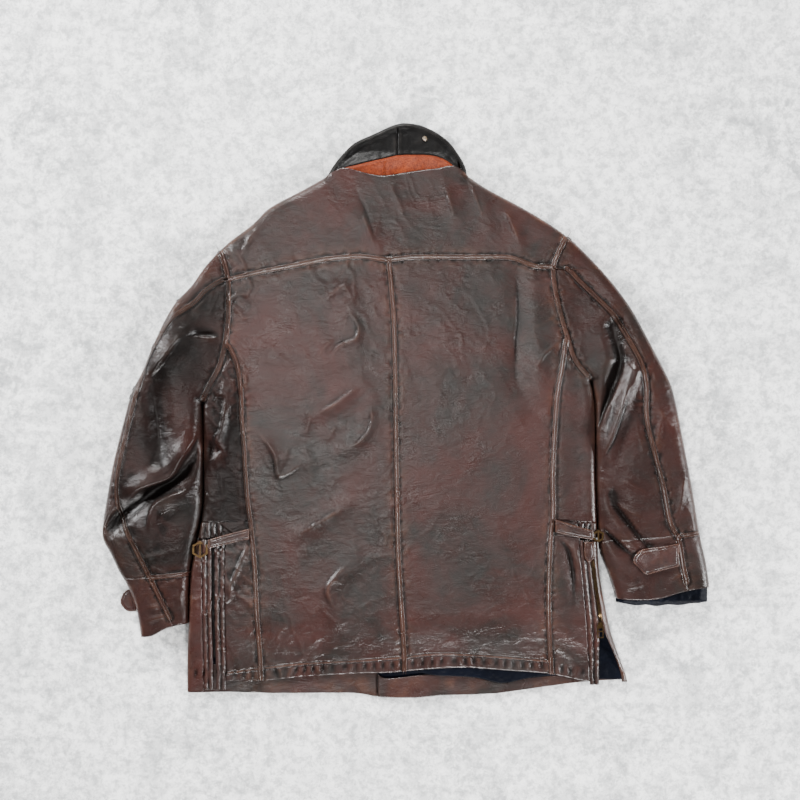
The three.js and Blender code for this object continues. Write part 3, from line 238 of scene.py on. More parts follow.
def spline(points, step=4.0):
    """A smooth line through the points, with a point about every step."""
    p = np.array(points, float)
    ends = np.vstack([2 * p[0] - p[1], p, 2 * p[-1] - p[-2]])
    out = []
    for i in range(1, len(ends) - 2):
        a, b, c, d = ends[i - 1:i + 3]
        count = max(2, int(np.hypot(*(c - b)) / step))
        t0 = 0.0
        t1 = t0 + max(1e-6, np.hypot(*(b - a)) ** 0.5)
        t2 = t1 + max(1e-6, np.hypot(*(c - b)) ** 0.5)
        t3 = t2 + max(1e-6, np.hypot(*(d - c)) ** 0.5)
        t = np.linspace(t1, t2, count, endpoint=False)[:, None]
        a1 = (t1 - t) / (t1 - t0) * a + (t - t0) / (t1 - t0) * b
        a2 = (t2 - t) / (t2 - t1) * b + (t - t1) / (t2 - t1) * c
        a3 = (t3 - t) / (t3 - t2) * c + (t - t2) / (t3 - t2) * d
        b1 = (t2 - t) / (t2 - t0) * a1 + (t - t0) / (t2 - t0) * a2
        b2 = (t3 - t) / (t3 - t1) * a2 + (t - t1) / (t3 - t1) * a3
        out.append((t2 - t) / (t2 - t1) * b1 + (t - t1) / (t2 - t1) * b2)
    return np.vstack(out + [p[-1:]])


def along_y(points):
    """x of a line as a function of y."""
    line = spline(points)
    line = line[np.argsort(line[:, 1])]
    return lambda y: np.interp(y, line[:, 1], line[:, 0])


def along_x(points):
    """y of a line as a function of x."""
    line = spline(points)
    line = line[np.argsort(line[:, 0])]
    return lambda x: np.interp(x, line[:, 0], line[:, 1])


def smoothstep(a, b, v):
    t = np.clip((v - a) / (b - a), 0, 1)
    return t * t * (3 - 2 * t)


def distance(points, x, y):
    best = np.full(np.shape(x), np.inf)
    for (ax, ay), (bx, by) in zip(points[:-1], points[1:]):
        dx, dy = bx - ax, by - ay
        t = np.clip(((x - ax) * dx + (y - ay) * dy) / (dx * dx + dy * dy), 0, 1)
        best = np.minimum(best, np.hypot(x - ax - t * dx, y - ay - t * dy))
    return best


def stroke(points, x, y):
    """Distance to a line, its side (positive on the left) and a taper toward both of its ends."""
    best = np.full(np.shape(x), np.inf)
    side = np.zeros(np.shape(x))
    at = np.zeros(np.shape(x))
    start = 0.0
    for (ax, ay), (bx, by) in zip(points[:-1], points[1:]):
        dx, dy = bx - ax, by - ay
        length = math.hypot(dx, dy)
        t = np.clip(((x - ax) * dx + (y - ay) * dy) / (length * length), 0, 1)
        d = np.hypot(x - ax - t * dx, y - ay - t * dy)
        closer = d < best
        best = np.where(closer, d, best)
        side = np.where(closer, np.sign(dx * (y - ay) - dy * (x - ax)), side)
        at = np.where(closer, start + t * length, at)
        start += length
    return best, side, smoothstep(0, 0.38 * start, np.minimum(at, start - at))


def nearby(line, reach, x, y):
    low, high = np.min(line, axis=0) - reach, np.max(line, axis=0) + reach
    return (x > low[0]) & (x < high[0]) & (y > low[1]) & (y < high[1])


def fold_gain(line, back, sleeve):
    """Folds are low on the back and high on the sleeves."""
    return back if abs(line[0][0] - CENTRE_X) < BACK_REACH else sleeve


def overlap_height(x, y):
    """Folds with a steep face on one side and a long slope on the other."""
    z = np.zeros(np.shape(x))
    for points, rise, reach in OVERLAPS:
        line = spline(points, 9)
        near = nearby(line, 3 * reach, x, y)
        if not near.any():
            continue
        d, side, taper = stroke(line, x[near], y[near])
        signed = d * side * (1 if rise > 0 else -1)
        high = np.exp(-np.maximum(signed, 0) / reach)
        low = -0.55 * np.exp(-np.maximum(-signed, 0) / (0.6 * reach))
        face = smoothstep(-2.6, 2.6, signed)
        gain = OVERLAP_GAIN * abs(rise)
        z[near] += gain * (high * face + low * (1 - face)) * taper * smoothstep(3 * reach, 1.4 * reach, d)
    return z


def crease_height(x, y):
    """Crisp small creases that fade at both ends."""
    z = np.zeros(np.shape(x))
    for points, rise, width in CREASES:
        line = spline(points, 7)
        near = nearby(line, 6 * width, x, y)
        if not near.any():
            continue
        d, _, taper = stroke(line, x[near], y[near])
        gain = fold_gain(line, CREASE_ON_BACK, CREASE_ON_SLEEVE)
        z[near] += gain * rise * taper * np.exp(-(d / (1.35 * width)) ** 1.3)
    return z


def value_noise(x, y, scale, seed):
    """Smooth noise from -1 to 1, the same on every run."""
    table = np.random.RandomState(seed).uniform(-1, 1, (128, 128))
    u, v = x / scale, y / scale
    i, j = np.floor(u).astype(int), np.floor(v).astype(int)
    fu, fv = u - i, v - j
    fu, fv = fu * fu * (3 - 2 * fu), fv * fv * (3 - 2 * fv)
    low = table[i % 128, j % 128] * (1 - fu) + table[(i + 1) % 128, j % 128] * fu
    high = table[i % 128, (j + 1) % 128] * (1 - fu) + table[(i + 1) % 128, (j + 1) % 128] * fu
    return low * (1 - fv) + high * fv


left_outer, right_outer = along_y(LEFT_OUTER), along_y(RIGHT_OUTER)
left_edge, right_edge = along_y(LEFT_EDGE), along_y(RIGHT_EDGE)
left_armhole, right_armhole = along_y(LEFT_ARMHOLE), along_y(RIGHT_ARMHOLE)
left_princess, right_princess = along_y(LEFT_PRINCESS), along_y(RIGHT_PRINCESS)
centre_seam, yoke_seam, back_hem = along_y(CENTRE_SEAM), along_x(YOKE_SEAM), along_x(BACK_HEM)
left_sleeve_seam, right_sleeve_seam = along_y(LEFT_SLEEVE_SEAM), along_y(RIGHT_SLEEVE_SEAM)
right_sleeve_edge = along_y(RIGHT_SLEEVE_EDGE)
EDGE_LINES = {
    "body": [spline(outline, OUTLINE_STEP) for outline in (LEFT_OUTER, RIGHT_OUTER, LEFT_EDGE, RIGHT_EDGE)],
    "left": [spline(LEFT_OUTER, OUTLINE_STEP),
             spline([(x - SLEEVE_GAP, y) for x, y in LEFT_EDGE], OUTLINE_STEP)],
    "right": [spline(RIGHT_OUTER, OUTLINE_STEP),
              spline([(x + SLEEVE_GAP, y) for x, y in RIGHT_SLEEVE_EDGE], OUTLINE_STEP)],
}


def rim_distance(x, y, edges):
    return np.min([distance(line, x, y) for line in EDGE_LINES[edges]], axis=0)


def cloth_height(x, y, edges="body", fine=True):
    """Height of the cloth's outside, in millimetres."""
    rim = rim_distance(x, y, edges)
    sleeve = smoothstep(*SLEEVE_RISE, np.abs(x - CENTRE_X))
    body = BODY_HEIGHT - (BODY_HEIGHT - HEM_HEIGHT) * smoothstep(*HEM_FALL, y)
    crown = body + (SLEEVE_HEIGHT - BODY_HEIGHT) * sleeve * smoothstep(*CUFF_FALL, y)
    folds = sum(fold_gain(line, FOLD_ON_BACK, FOLD_ON_SLEEVE) * rise
                * np.exp(-((distance(line, x, y) / width) ** 2)) for line, rise, width in FOLDS)
    folds = folds * np.minimum(1, rim / 24) * smoothstep(-440, -400, y)
    s = np.minimum(1, rim / ROLL_RADIUS)
    z = RIM + (crown - RIM) * (1 - (1 - s) ** ROLL_POWER) ** (1 / ROLL_POWER) + folds
    if not fine:
        return z
    waves = WAVE_HEIGHT * value_noise(x + 0.35 * y, y * 0.55, 34, 3)
    above_hem = np.exp(-((y - back_hem(x) - 12) / 8.0) ** 2)
    pucker = PUCKER_HEIGHT * np.sin(x / 2.6 + 2.2 * value_noise(x, y, 30, 11)) * above_hem
    z = z + overlap_height(x, y) * np.minimum(1, rim / 12)
    small = CREASE_GAIN * crease_height(x, y) + waves + crumple(x, y, edges) + pucker * (edges == "body")
    return z + small * np.minimum(1, rim / 9)


def crumple(x, y, edges):
    """Networks of soft folds with crisp crests: stronger on the sleeves than on the back."""
    lean = {"body": 0.55, "left": -0.35, "right": 0.45}[edges]
    u, v = x + lean * y, (y - lean * x) * 0.62
    du, dv = 13 * value_noise(u, v, 47, 101), 13 * value_noise(u, v, 47, 102)
    fu, fv = 5 * value_noise(x, y, 17, 107), 5 * value_noise(x, y, 17, 108)
    wide = (1 - np.abs(value_noise(u + du + fu, v + dv + fv, 58, 103))) ** 9
    small = (1 - np.abs(value_noise(u - dv + fu, v + du - fv, 27, 104))) ** 7
    tiny = (1 - np.abs(value_noise(u + 0.5 * du - fv, v + fu, 12, 105))) ** 4
    where = {"left": 0.95, "right": 0.75}.get(edges)
    if where is None:
        left_side = smoothstep(-225, -275, x) * 1.5
        skirt = smoothstep(-150, -330, y) * 0.5
        where = 0.55 + 0.55 * smoothstep(60, -120, x) + left_side + skirt
    patch = 0.35 + 0.65 * smoothstep(-0.35, 0.45, value_noise(x, y, 95, 106))
    return where * patch * (0.9 * wide + 0.7 * small + 0.34 * tiny) - 0.3 * where


def blurred(z, radius):
    kernel = np.ones(2 * radius + 1) / (2 * radius + 1)
    padded = np.pad(z, radius, mode="edge")
    rows = np.apply_along_axis(lambda r: np.convolve(r, kernel, "valid"), 1, padded)
    return np.apply_along_axis(lambda c: np.convolve(c, kernel, "valid"), 0, rows)


def node_tree(name):
    material = bpy.data.materials.new(name)
    material.use_nodes = True
    tree = material.node_tree
    shader = tree.nodes["Principled BSDF"]
    coords = tree.nodes.new("ShaderNodeTexCoord")
    return material, tree, shader, coords


def noise(tree, coords, scale, detail=3.0, rough=0.55, distortion=0.0):
    node = tree.nodes.new("ShaderNodeTexNoise")
    node.inputs["Scale"].default_value = scale
    node.inputs["Detail"].default_value = detail
    node.inputs["Roughness"].default_value = rough
    node.inputs["Distortion"].default_value = distortion
    tree.links.new(coords, node.inputs["Vector"])
    return node.outputs["Fac"]


def ramp(tree, value, low, high, colours=((0, 0, 0, 1), (1, 1, 1, 1))):
    node = tree.nodes.new("ShaderNodeValToRGB")
    node.color_ramp.elements[0].position = low
    node.color_ramp.elements[1].position = high
    node.color_ramp.elements[0].color = colours[0]
    node.color_ramp.elements[1].color = colours[1]
    tree.links.new(value, node.inputs["Fac"])
    return node.outputs["Color"]


def mix(tree, factor, a, b, blend="MIX"):
    node = tree.nodes.new("ShaderNodeMix")
    node.data_type = "RGBA"
    node.blend_type = blend
    for socket, value in ((node.inputs["Factor"], factor), (node.inputs["A"], a), (node.inputs["B"], b)):
        if isinstance(value, (int, float, tuple)):
            socket.default_value = value
        else:
            tree.links.new(value, socket)
    return node.outputs["Result"]


def math_node(tree, operation, a, b=0.0, c=0.0):
    node = tree.nodes.new("ShaderNodeMath")
    node.operation = operation
    for socket, value in zip(node.inputs, (a, b, c)):
        if isinstance(value, (int, float)):
            socket.default_value = value
        else:
            tree.links.new(value, socket)
    return node.outputs[0]


def times(tree, a, b):
    return math_node(tree, "MULTIPLY", a, b)


def connect(tree, shader, colour, rough, normal):
    for name, source in (("Base Color", colour), ("Roughness", rough), ("Normal", normal)):
        tree.links.new(source, shader.inputs[name])


def attribute(tree, name):
    node = tree.nodes.new("ShaderNodeAttribute")
    node.attribute_name = name
    return node.outputs["Fac"]


def map_range(tree, value, low, high):
    node = tree.nodes.new("ShaderNodeMapRange")
    node.inputs["From Min"].default_value = low
    node.inputs["From Max"].default_value = high
    tree.links.new(value, node.inputs["Value"])
    return node.outputs["Result"]


def bump(tree, height, strength, distance, below=None):
    node = tree.nodes.new("ShaderNodeBump")
    node.inputs["Strength"].default_value = strength
    node.inputs["Distance"].default_value = distance
    tree.links.new(height, node.inputs["Height"])
    if below is not None:
        tree.links.new(below, node.inputs["Normal"])
    return node.outputs["Normal"]


def stretched(tree, coords, scale, turn=0.0):
    node = tree.nodes.new("ShaderNodeMapping")
    node.inputs["Scale"].default_value = scale
    node.inputs["Rotation"].default_value = (0, 0, turn)
    tree.links.new(coords, node.inputs["Vector"])
    return node.outputs["Vector"]


def pebbled(tree, at, grain):
    """Edges of small cells whose places are shifted a little by noise."""
    shift = tree.nodes.new("ShaderNodeTexNoise")
    shift.inputs["Scale"].default_value = 160
    tree.links.new(at, shift.inputs["Vector"])
    scaled = tree.nodes.new("ShaderNodeVectorMath")
    scaled.operation = "SCALE"
    scaled.inputs["Scale"].default_value = 0.004
    tree.links.new(shift.outputs["Color"], scaled.inputs[0])
    warp = tree.nodes.new("ShaderNodeVectorMath")
    warp.operation = "ADD"
    tree.links.new(at, warp.inputs[0])
    tree.links.new(scaled.outputs[0], warp.inputs[1])
    cells = tree.nodes.new("ShaderNodeTexVoronoi")
    cells.feature = "DISTANCE_TO_EDGE"
    cells.inputs["Scale"].default_value = 620 / grain
    tree.links.new(warp.outputs[0], cells.inputs["Vector"])
    return ramp(tree, cells.outputs["Distance"], 0.0, 0.16)


def leather(name, dark, warm, edge, gloss, grain, shine):
    """Glossy worn leather: pebbled grain, wrinkles, patches of two browns, rubbed edges, and painted shade
    that darkens the troughs and the shaded pieces.
    """
    material, tree, shader, coords = node_tree(name)
    at = coords.outputs["Object"]
    patches = ramp(tree, noise(tree, at, 7.5, 5, 0.62, 0.6), 0.40, 0.66)
    colour = mix(tree, patches, dark, warm)
    blotches = ramp(tree, noise(tree, at, 38, 4, 0.6), 0.35, 0.72)
    colour = mix(tree, times(tree, blotches, 0.35), colour, warm)

    from_seam = attribute(tree, "seam")
    on_band = map_range(tree, from_seam, 3.9, 3.3)
    groove = times(tree, map_range(tree, from_seam, 3.7, 4.2), map_range(tree, from_seam, 5.6, 4.7))
    scuffs = ramp(tree, noise(tree, at, 60, 4, 0.7), 0.30, 0.62)
    patchy = ramp(tree, noise(tree, at, 42, 4, 0.7), 0.28, 0.62)
    rubbed = math_node(tree, "MAXIMUM", times(tree, attribute(tree, "wear"), scuffs),
                       times(tree, on_band, times(tree, patchy, 0.34)))
    colour = mix(tree, rubbed, colour, edge)
    colour = mix(tree, times(tree, groove, 0.8), colour, (0.004, 0.003, 0.003, 1))
    # Painted shade: the dip attribute mixes near black into the troughs between folds and into pieces given a
    # dark setting.
    colour = mix(tree, times(tree, attribute(tree, "dip"), 0.88), colour, (0.0035, 0.0028, 0.0026, 1))

    haze = ramp(tree, noise(tree, at, 11, 4, 0.6, 1.2), 0.38, 0.68)
    rough = math_node(tree, "MULTIPLY_ADD", haze, 0.20, gloss)
    rough = math_node(tree, "MULTIPLY_ADD", noise(tree, at, 220, 2, 0.5), 0.06, rough)
    shader.inputs["Specular IOR Level"].default_value = shine
    shader.inputs["Coat Weight"].default_value = 0.25 * shine
    shader.inputs["Coat Roughness"].default_value = 0.24

    soft = noise(tree, stretched(tree, at, (1.0, 1.9, 1.0), -0.5), 30, 4, 0.6, 0.9)
    wrinkles = noise(tree, stretched(tree, at, (1.0, 2.3, 1.0), 0.4), 85, 5, 0.62, 0.8)
    fine = noise(tree, stretched(tree, at, (1.0, 1.6, 1.0), 0.9), 240, 4, 0.6, 0.6)
    seam_profile = math_node(tree, "SUBTRACT", on_band, groove)
    normal = None
    for height, strength, depth in (
            (soft, 0.34, 0.004), (seam_profile, 0.55, 0.0010), (wrinkles, 0.19, 0.0018),
            (fine, 0.18, 0.0008), (pebbled(tree, at, grain), 0.16, 0.0004)):
        normal = bump(tree, height, strength, depth, normal)
    connect(tree, shader, colour, rough, normal)
    tree.links.new(normal, shader.inputs["Coat Normal"])
    return material


def woven(name, dark, light):
    material, tree, shader, coords = node_tree(name)
    at = coords.outputs["Object"]
    threads = tree.nodes.new("ShaderNodeTexWave")
    threads.inputs["Scale"].default_value = 420
    threads.inputs["Distortion"].default_value = 0.6
    tree.links.new(at, threads.inputs["Vector"])
    colour = mix(tree, ramp(tree, noise(tree, at, 22, 4), 0.35, 0.7), dark, light)
    colour = mix(tree, times(tree, threads.outputs["Fac"], 0.25), colour, light)
    rough = math_node(tree, "MULTIPLY_ADD", noise(tree, at, 60, 2), 0.2, 0.38)
    shader.inputs["Specular IOR Level"].default_value = 0.05
    normal = bump(tree, noise(tree, at, 24, 4, 0.6, 0.8), 0.4, 0.004)
    connect(tree, shader, colour, rough, bump(tree, threads.outputs["Fac"], 0.2, 0.0003, normal))
    return material


def suede(name, dark, light):
    material, tree, shader, coords = node_tree(name)
    at = coords.outputs["Object"]
    colour = mix(tree, ramp(tree, noise(tree, at, 30, 5, 0.65, 0.6), 0.32, 0.7), dark, light)
    colour = mix(tree, ramp(tree, noise(tree, at, 420, 3), 0.3, 0.8), colour, light, "MULTIPLY")
    rough = math_node(tree, "MULTIPLY_ADD", noise(tree, at, 90, 2), 0.15, 0.55)
    shader.inputs["Specular IOR Level"].default_value = 0.12
    normal = bump(tree, noise(tree, at, 70, 5, 0.65, 0.5), 0.6, 0.002)
    connect(tree, shader, colour, rough, bump(tree, noise(tree, at, 900, 2), 0.35, 0.0003, normal))
    return material


def metal(name, clean, tarnish):
    material, tree, shader, coords = node_tree(name)
    at = coords.outputs["Object"]
    dull = ramp(tree, noise(tree, at, 260, 4, 0.65), 0.40, 0.68)
    shader.inputs["Metallic"].default_value = 1.0
    connect(tree, shader, mix(tree, dull, clean, tarnish), math_node(tree, "MULTIPLY_ADD", dull, 0.25, 0.26),
            bump(tree, noise(tree, at, 700, 3), 0.25, 0.0002))
    return material


def floor_finish(name, pale, grey):
    material, tree, shader, coords = node_tree(name)
    at = coords.outputs["Object"]
    spots = ramp(tree, noise(tree, at, 60, 9, 0.82, 0.2), 0.45, 0.58)
    clouds = ramp(tree, noise(tree, at, 16, 9, 0.80, 0.3), 0.45, 0.57)
    broad = ramp(tree, noise(tree, at, 3.5, 3, 0.6), 0.35, 0.66)
    colour = mix(tree, times(tree, spots, 0.58), pale, grey)
    share = math_node(tree, "MULTIPLY_ADD", broad, 0.50, 0.16)
    colour = mix(tree, times(tree, clouds, share), colour, grey)
    connect(tree, shader, colour, math_node(tree, "MULTIPLY_ADD", spots, 0.2, 0.55),
            bump(tree, noise(tree, at, 300, 4), 0.1, 0.0004))
    return material


def finish(name):
    """The named material, made once from the panel's settings."""
    made = bpy.data.materials.get(name)
    if made:
        return made
    s = bpy.context.scene.coat
    browns = tuple(s.dark_brown), tuple(s.red_brown), tuple(s.worn_edge)
    blacks = tuple(s.black), tuple(s.black), tuple(s.dark_brown)
    brass, brass_dark = tuple(s.brass), tuple(s.brass_dark)
    makers = {
        # Sleeve leather and shaded leather are copies of the back leather with less shine: painted shade on
        # the sleeves, the casings and the left side back.
        "back leather": lambda: leather(name, *browns, s.gloss, s.grain, 0.27),
        "sleeve leather": lambda: leather(name, *browns, s.gloss - 0.02, s.grain, 0.19),
        "shaded leather": lambda: leather(name, *browns, s.gloss - 0.02, s.grain, 0.14),
        "black leather": lambda: leather(name, *blacks, s.gloss + 0.10, s.grain, 0.075),
        "tan leather": lambda: suede(name, tuple(s.tan_dark), tuple(s.tan)),
        "navy lining": lambda: woven(name, tuple(s.navy), tuple(s.navy_light)),
        "old brass": lambda: metal(name, brass, brass_dark),
        "rubbed brass": lambda: metal(name, (0.40, 0.36, 0.31, 1), brass),
        "thread": lambda: woven(name, tuple(s.thread), tuple(s.thread)),
        "pale floor": lambda: floor_finish(name, tuple(s.floor), tuple(s.floor_grey)),
    }
    return makers[name]()


def cut_line(points, low, high, axis=1):
    """Spline through the points, kept between two limits along one axis."""
    line = spline(points, 5)
    return line[(line[:, axis] >= low) & (line[:, axis] <= high)]


SEAMS = {
    "body": [
        cut_line(YOKE_SEAM, -290, 242, 0), cut_line(CENTRE_SEAM, -432, 248),
        cut_line(LEFT_PRINCESS, -443, 112), cut_line(RIGHT_PRINCESS, -433, 118)],
    "left": [cut_line(LEFT_SLEEVE_SEAM, -344, 214), cut_line(LEFT_CUFF_SEAM, -418, -349, 0)],
    "right": [cut_line(RIGHT_SLEEVE_SEAM, -288, 232), cut_line(RIGHT_CUFF_SEAM, 441, 480, 0)],
}
HEM_ROW = spline([
    (-293, -431), (-247, -425), (-183, -417), (-76, -411), (-2, -405), (42, -400), (121, -402),
    (239, -412)], 6)
HEM_STITCHES = spline([
    (-293, -427), (-247, -421), (-183, -413), (-76, -407), (-2, -401), (42, -396), (121, -398),
    (239, -408)], 4)
ARMHOLES = {"left": cut_line(LEFT_ARMHOLE, 14, 268), "right": cut_line(RIGHT_ARMHOLE, 50, 295)}


def offset(line, away):
    """A line beside another one, at a distance to its left."""
    t = np.gradient(line, axis=0)
    t /= np.maximum(np.linalg.norm(t, axis=1, keepdims=True), 1e-9)
    return line + np.stack([-t[:, 1], t[:, 0]], 1) * away


def seam_relief(x, y, part):
    """Raised seam allowances with a groove on each side, and puckers that run off them."""
    armholes = list(ARMHOLES.values()) if part == "body" else [ARMHOLES[part]]
    z = np.zeros_like(x)
    for k, line in enumerate(SEAMS[part] + armholes):
        d = distance(line[::2], x, y)
        z += 0.7 * smoothstep(BAND + 2.2, BAND - 0.6, d) - 0.9 * np.exp(-((d - BAND - 2.6) / 1.8) ** 2)
        along = value_noise(x * 1.6 + 40 * k, y * 1.6, 8.5, 21 + k)
        z += 0.8 * along * np.exp(-((d - 8) / 6.5) ** 2)
    return z * np.minimum(1, rim_distance(x, y, part) / 9)


def nearest_seam(x, y, part):
    return np.min([distance(line[::2], x, y) for line in SEAMS[part] + list(ARMHOLES.values())], axis=0)


def seam_distance(x, y, part):
    """Distance to the nearest seam; the hem's row counts as a narrower one."""
    near = nearest_seam(x, y, part)
    return np.minimum(near, distance(HEM_ROW[::2], x, y) + 1.9) if part == "body" else near


def grid_size(left, right, y_low, y_high, step, fewest, probes=40):
    """Rows and columns that keep a grid's cells near the step."""
    probe = np.linspace(y_low, y_high, probes)
    return (max(fewest, int((y_high - y_low) / step)),
            max(fewest, int(np.max(right(probe) - left(probe)) / step)))


def ruled(left, right, bottom, top, y_low, y_high, u, rows, rounds=40):
    """x and y of a grid that fills the space between two side lines and two end lines."""
    u, v = np.meshgrid(u, np.linspace(0, 1, rows + 1))
    y = y_low + (y_high - y_low) * v
    for _ in range(rounds):
        x = left(y) + np.maximum(right(y) - left(y), NARROWEST_ROW) * u
        y = 0.5 * y + 0.5 * (bottom(x) + np.maximum(top(x) - bottom(x), NARROWEST_ROW) * v)
    return x, y


def end_range(bottom, top):
    """Lowest and highest y of two end lines anywhere on the coat."""
    across = np.linspace(-OUTSIDE, OUTSIDE, 80)
    return float(np.min(bottom(across))), float(np.max(top(across)))


def panel(left, right, bottom, top, part="body", step=2.6, roll=None, extra=None, thickness=WALL, dark=0.0):
    """Grid of one cut piece on the cloth, with each point's wear, distance to a seam and painted shade."""
    y_low, y_high = panel_range(left, right, bottom, top, *end_range(bottom, top))
    rows, columns = grid_size(left, right, y_low, y_high, step, 4)
    u = np.linspace(0, 1, columns + 1)
    if roll == "left":
        u = u ** 1.45
    elif roll == "right":
        u = 1 - (1 - u) ** 1.45
    x, y = ruled(left, right, bottom, top, y_low, y_high, u, rows)
    z = cloth_height(x, y, part) + seam_relief(x, y, part)
    if extra is not None:
        z = z + extra(x, y)
    # Painted shade: the dark setting, with noise, is added to the trough shade in the dip attribute, and it
    # also lowers the rubbed wear.
    shade = dark * (0.75 + 0.35 * value_noise(x + 0.4 * y, y * 0.6, 34, 131))
    worn = np.stack([worn_edges(x, y, z, part) * (1 - 0.6 * dark), seam_distance(x, y, part),
                     np.clip(painted_trough_shade(x, z) + shade, 0, 1)])
    return np.dstack([x, y, np.maximum(z, RIM)]), worn, thickness


def panel_range(left, right, bottom, top, y_low, y_high):
    """Lowest and highest y that the piece really reaches."""
    y = np.linspace(y_low, y_high, 400)
    a, b = left(y), right(y)
    found = np.concatenate([y[(b > a) & (y >= bottom(x) - 0.5) & (y <= top(x) + 0.5)]
                            for x in (a, b, (a + b) / 2)])
    return float(found.min()), float(found.max())


def worn_edges(x, y, z, part):
    """0 to 1: rubbed crests, seams and rims."""
    step = max(2, int(9 / max(0.5, float(np.abs(np.diff(x, axis=1)).mean()))))
    crest = np.clip((z - blurred(z, step)) / 1.5, 0, 1)
    rubbed_rim = 0.8 * np.exp(-((rim_distance(x, y, part) - 2) / 5.0) ** 2)
    rubbed_seam = 0.35 * np.exp(-(nearest_seam(x, y, part) / 14.0) ** 2)
    patchy = 0.5 + 0.5 * value_noise(x, y, 24, 77)
    return np.clip((crest * 0.30 + 0.5 * rubbed_rim + rubbed_seam) * patchy, 0, 1)


def painted_trough_shade(x, z):
    """0 to 1: painted shade for the troughs between folds, where the leather's colour is darkened."""
    pitch = max(0.5, float(np.abs(np.diff(x, axis=1)).mean()))
    near, far = max(2, int(7 / pitch)), max(3, int(17 / pitch))
    small = np.clip((blurred(z, near) - z - 0.15) / 0.9, 0, 1)
    wide = np.clip((blurred(z, far) - z - 0.5) / 2.6, 0, 1)
    return np.clip(0.75 * small + wide, 0, 1)


def flat_grid(left, right, bottom, top, z, step=8.0, thickness=1.6, y_range=None):
    """Grid of a wall that lies flat at a height."""
    y_low, y_high = y_range or end_range(bottom, top)
    rows, columns = grid_size(left, right, y_low, y_high, step, 3)
    x, y = ruled(left, right, bottom, top, y_low, y_high, np.linspace(0, 1, columns + 1), rows)
    height = z(x, y) if callable(z) else np.full_like(x, z)
    wear = np.clip(0.05 + 0.3 * value_noise(x, y, 18, 31), 0, 1)
    return np.dstack([x, y, height]), wear, thickness


def surface_area(points):
    a = points[1:, 1:] - points[:-1, :-1]
    b = points[1:, :-1] - points[:-1, 1:]
    return float(np.linalg.norm(np.cross(a, b), axis=2).sum() / 2) * MM * MM


def extent(points, axis):
    """Width (axis 1) or length (axis 0) of a wall once flat: sideways drift of its lines isn't counted."""
    steps = np.diff(points, axis=axis)
    along = np.hypot(steps[..., 1 - axis], steps[..., 2])
    return float(along.sum(axis=axis).max()) * MM


def walls(name, grids):
    """One mesh from several walls, each a grid of outside points with its wear and thickness."""
    vertices, faces, smooth, wear, start = [], [], [], [], 0
    for points, worn, thickness in grids:
        rows, columns = points.shape[:2]
        normal = np.cross(np.gradient(points, axis=1), np.gradient(points, axis=0))
        normal /= np.maximum(np.linalg.norm(normal, axis=2, keepdims=True), 1e-9)
        inside = points - normal * thickness
        inside[..., 2] = np.maximum(inside[..., 2], 0.05)
        size = rows * columns
        vertices += [points.reshape(-1, 3), inside.reshape(-1, 3)]
        if worn.ndim == 2:
            worn = np.stack([worn, np.full_like(worn, SEAM_FAR_AWAY), np.zeros_like(worn)])
        wear += [worn.reshape(3, -1), worn.reshape(3, -1)]
        index = np.arange(size).reshape(rows, columns) + start
        a, b, c, d = index[:-1, :-1], index[:-1, 1:], index[1:, 1:], index[1:, :-1]
        ring = np.concatenate([index[0, :], index[1:, -1], index[-1, -2::-1], index[-2:0:-1, 0]])
        after = np.roll(ring, -1)
        faces += [np.stack([a, b, c, d], -1).reshape(-1, 4),
                  np.stack([a, d, c, b], -1).reshape(-1, 4) + size,
                  np.stack([ring, ring + size, after + size, after], -1)]
        smooth += [True] * (2 * (rows - 1) * (columns - 1)) + [False] * len(ring)
        start += 2 * size
    obj = plain_mesh(name, np.concatenate(vertices) * MM, np.concatenate(faces), smooth)
    # dip holds the painted shade of troughs and of darkened pieces.
    for name, values in zip(("wear", "seam", "dip"), np.concatenate(wear, axis=1)):
        layer = obj.data.attributes.new(name, "FLOAT", "POINT")
        layer.data.foreach_set("value", values.astype(np.float32))
    return obj


def plain_mesh(name, vertices, faces, smooth):
    mesh = bpy.data.meshes.new(name)
    mesh.from_pydata(np.asarray(vertices, float).tolist(), [], [list(map(int, f)) for f in faces])
    mesh.polygons.foreach_set("use_smooth", smooth)
    mesh.validate()
    mesh.update()
    obj = bpy.data.objects.new(name, mesh)
    bpy.context.scene.collection.objects.link(obj)
    return obj


def sew(name, grids, material="back leather"):
    """A finished cloth piece: mesh, material and body; it hides the CAD node it stands for and sums an area,
    width and length that nothing uses.
    """
    obj = walls(name + "_sewn", grids)
    obj.data.materials.append(finish(material))
    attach(obj, BODY)
    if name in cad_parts:
        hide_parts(name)
    area = sum(surface_area(points) for points, _, _ in grids)
    width = sum(extent(points, 1) for points, _, _ in grids)
    length = max(extent(points, 0) for points, _, _ in grids)
    if width < NARROWEST_CUT:
        return
    if area > width * length:
        width = area / length * 1.001


def const(value):
    return lambda v: np.full_like(np.asarray(v, float), value)


def moved(line, by):
    return lambda v: line(v) + by


def body_left(y):
    return np.where(y > LEFT_PIT, np.maximum(left_armhole(y), left_outer(y)), left_edge(y))


def body_right(y):
    return np.where(y > RIGHT_PIT, np.minimum(right_armhole(y), right_outer(y)), right_edge(y))


neck = along_x(NECK)
front_hem = along_x(FRONT_HEM)
casing_top_left = along_x([(-370, -184), (-300, -181), (-254, -178)])
casing_low_left = along_x([(-370, -209), (-300, -206), (-251, -203)])
casing_top_right = along_x([(238, -178), (280, -181), (340, -184)])
casing_low_right = along_x([(236, -203), (280, -206), (340, -209)])
left_cuff_seam, right_cuff_seam = along_x(LEFT_CUFF_SEAM), along_x(RIGHT_CUFF_SEAM)
left_cuff_end, right_cuff_end = along_x(LEFT_CUFF_END), along_x(RIGHT_CUFF_END)


def left_side_line(y):
    """Armhole above its princess seam, that seam below."""
    return np.where(y > 111, left_armhole(y), left_princess(y))


def right_side_line(y):
    return np.where(y > 123, right_armhole(y), right_princess(y))


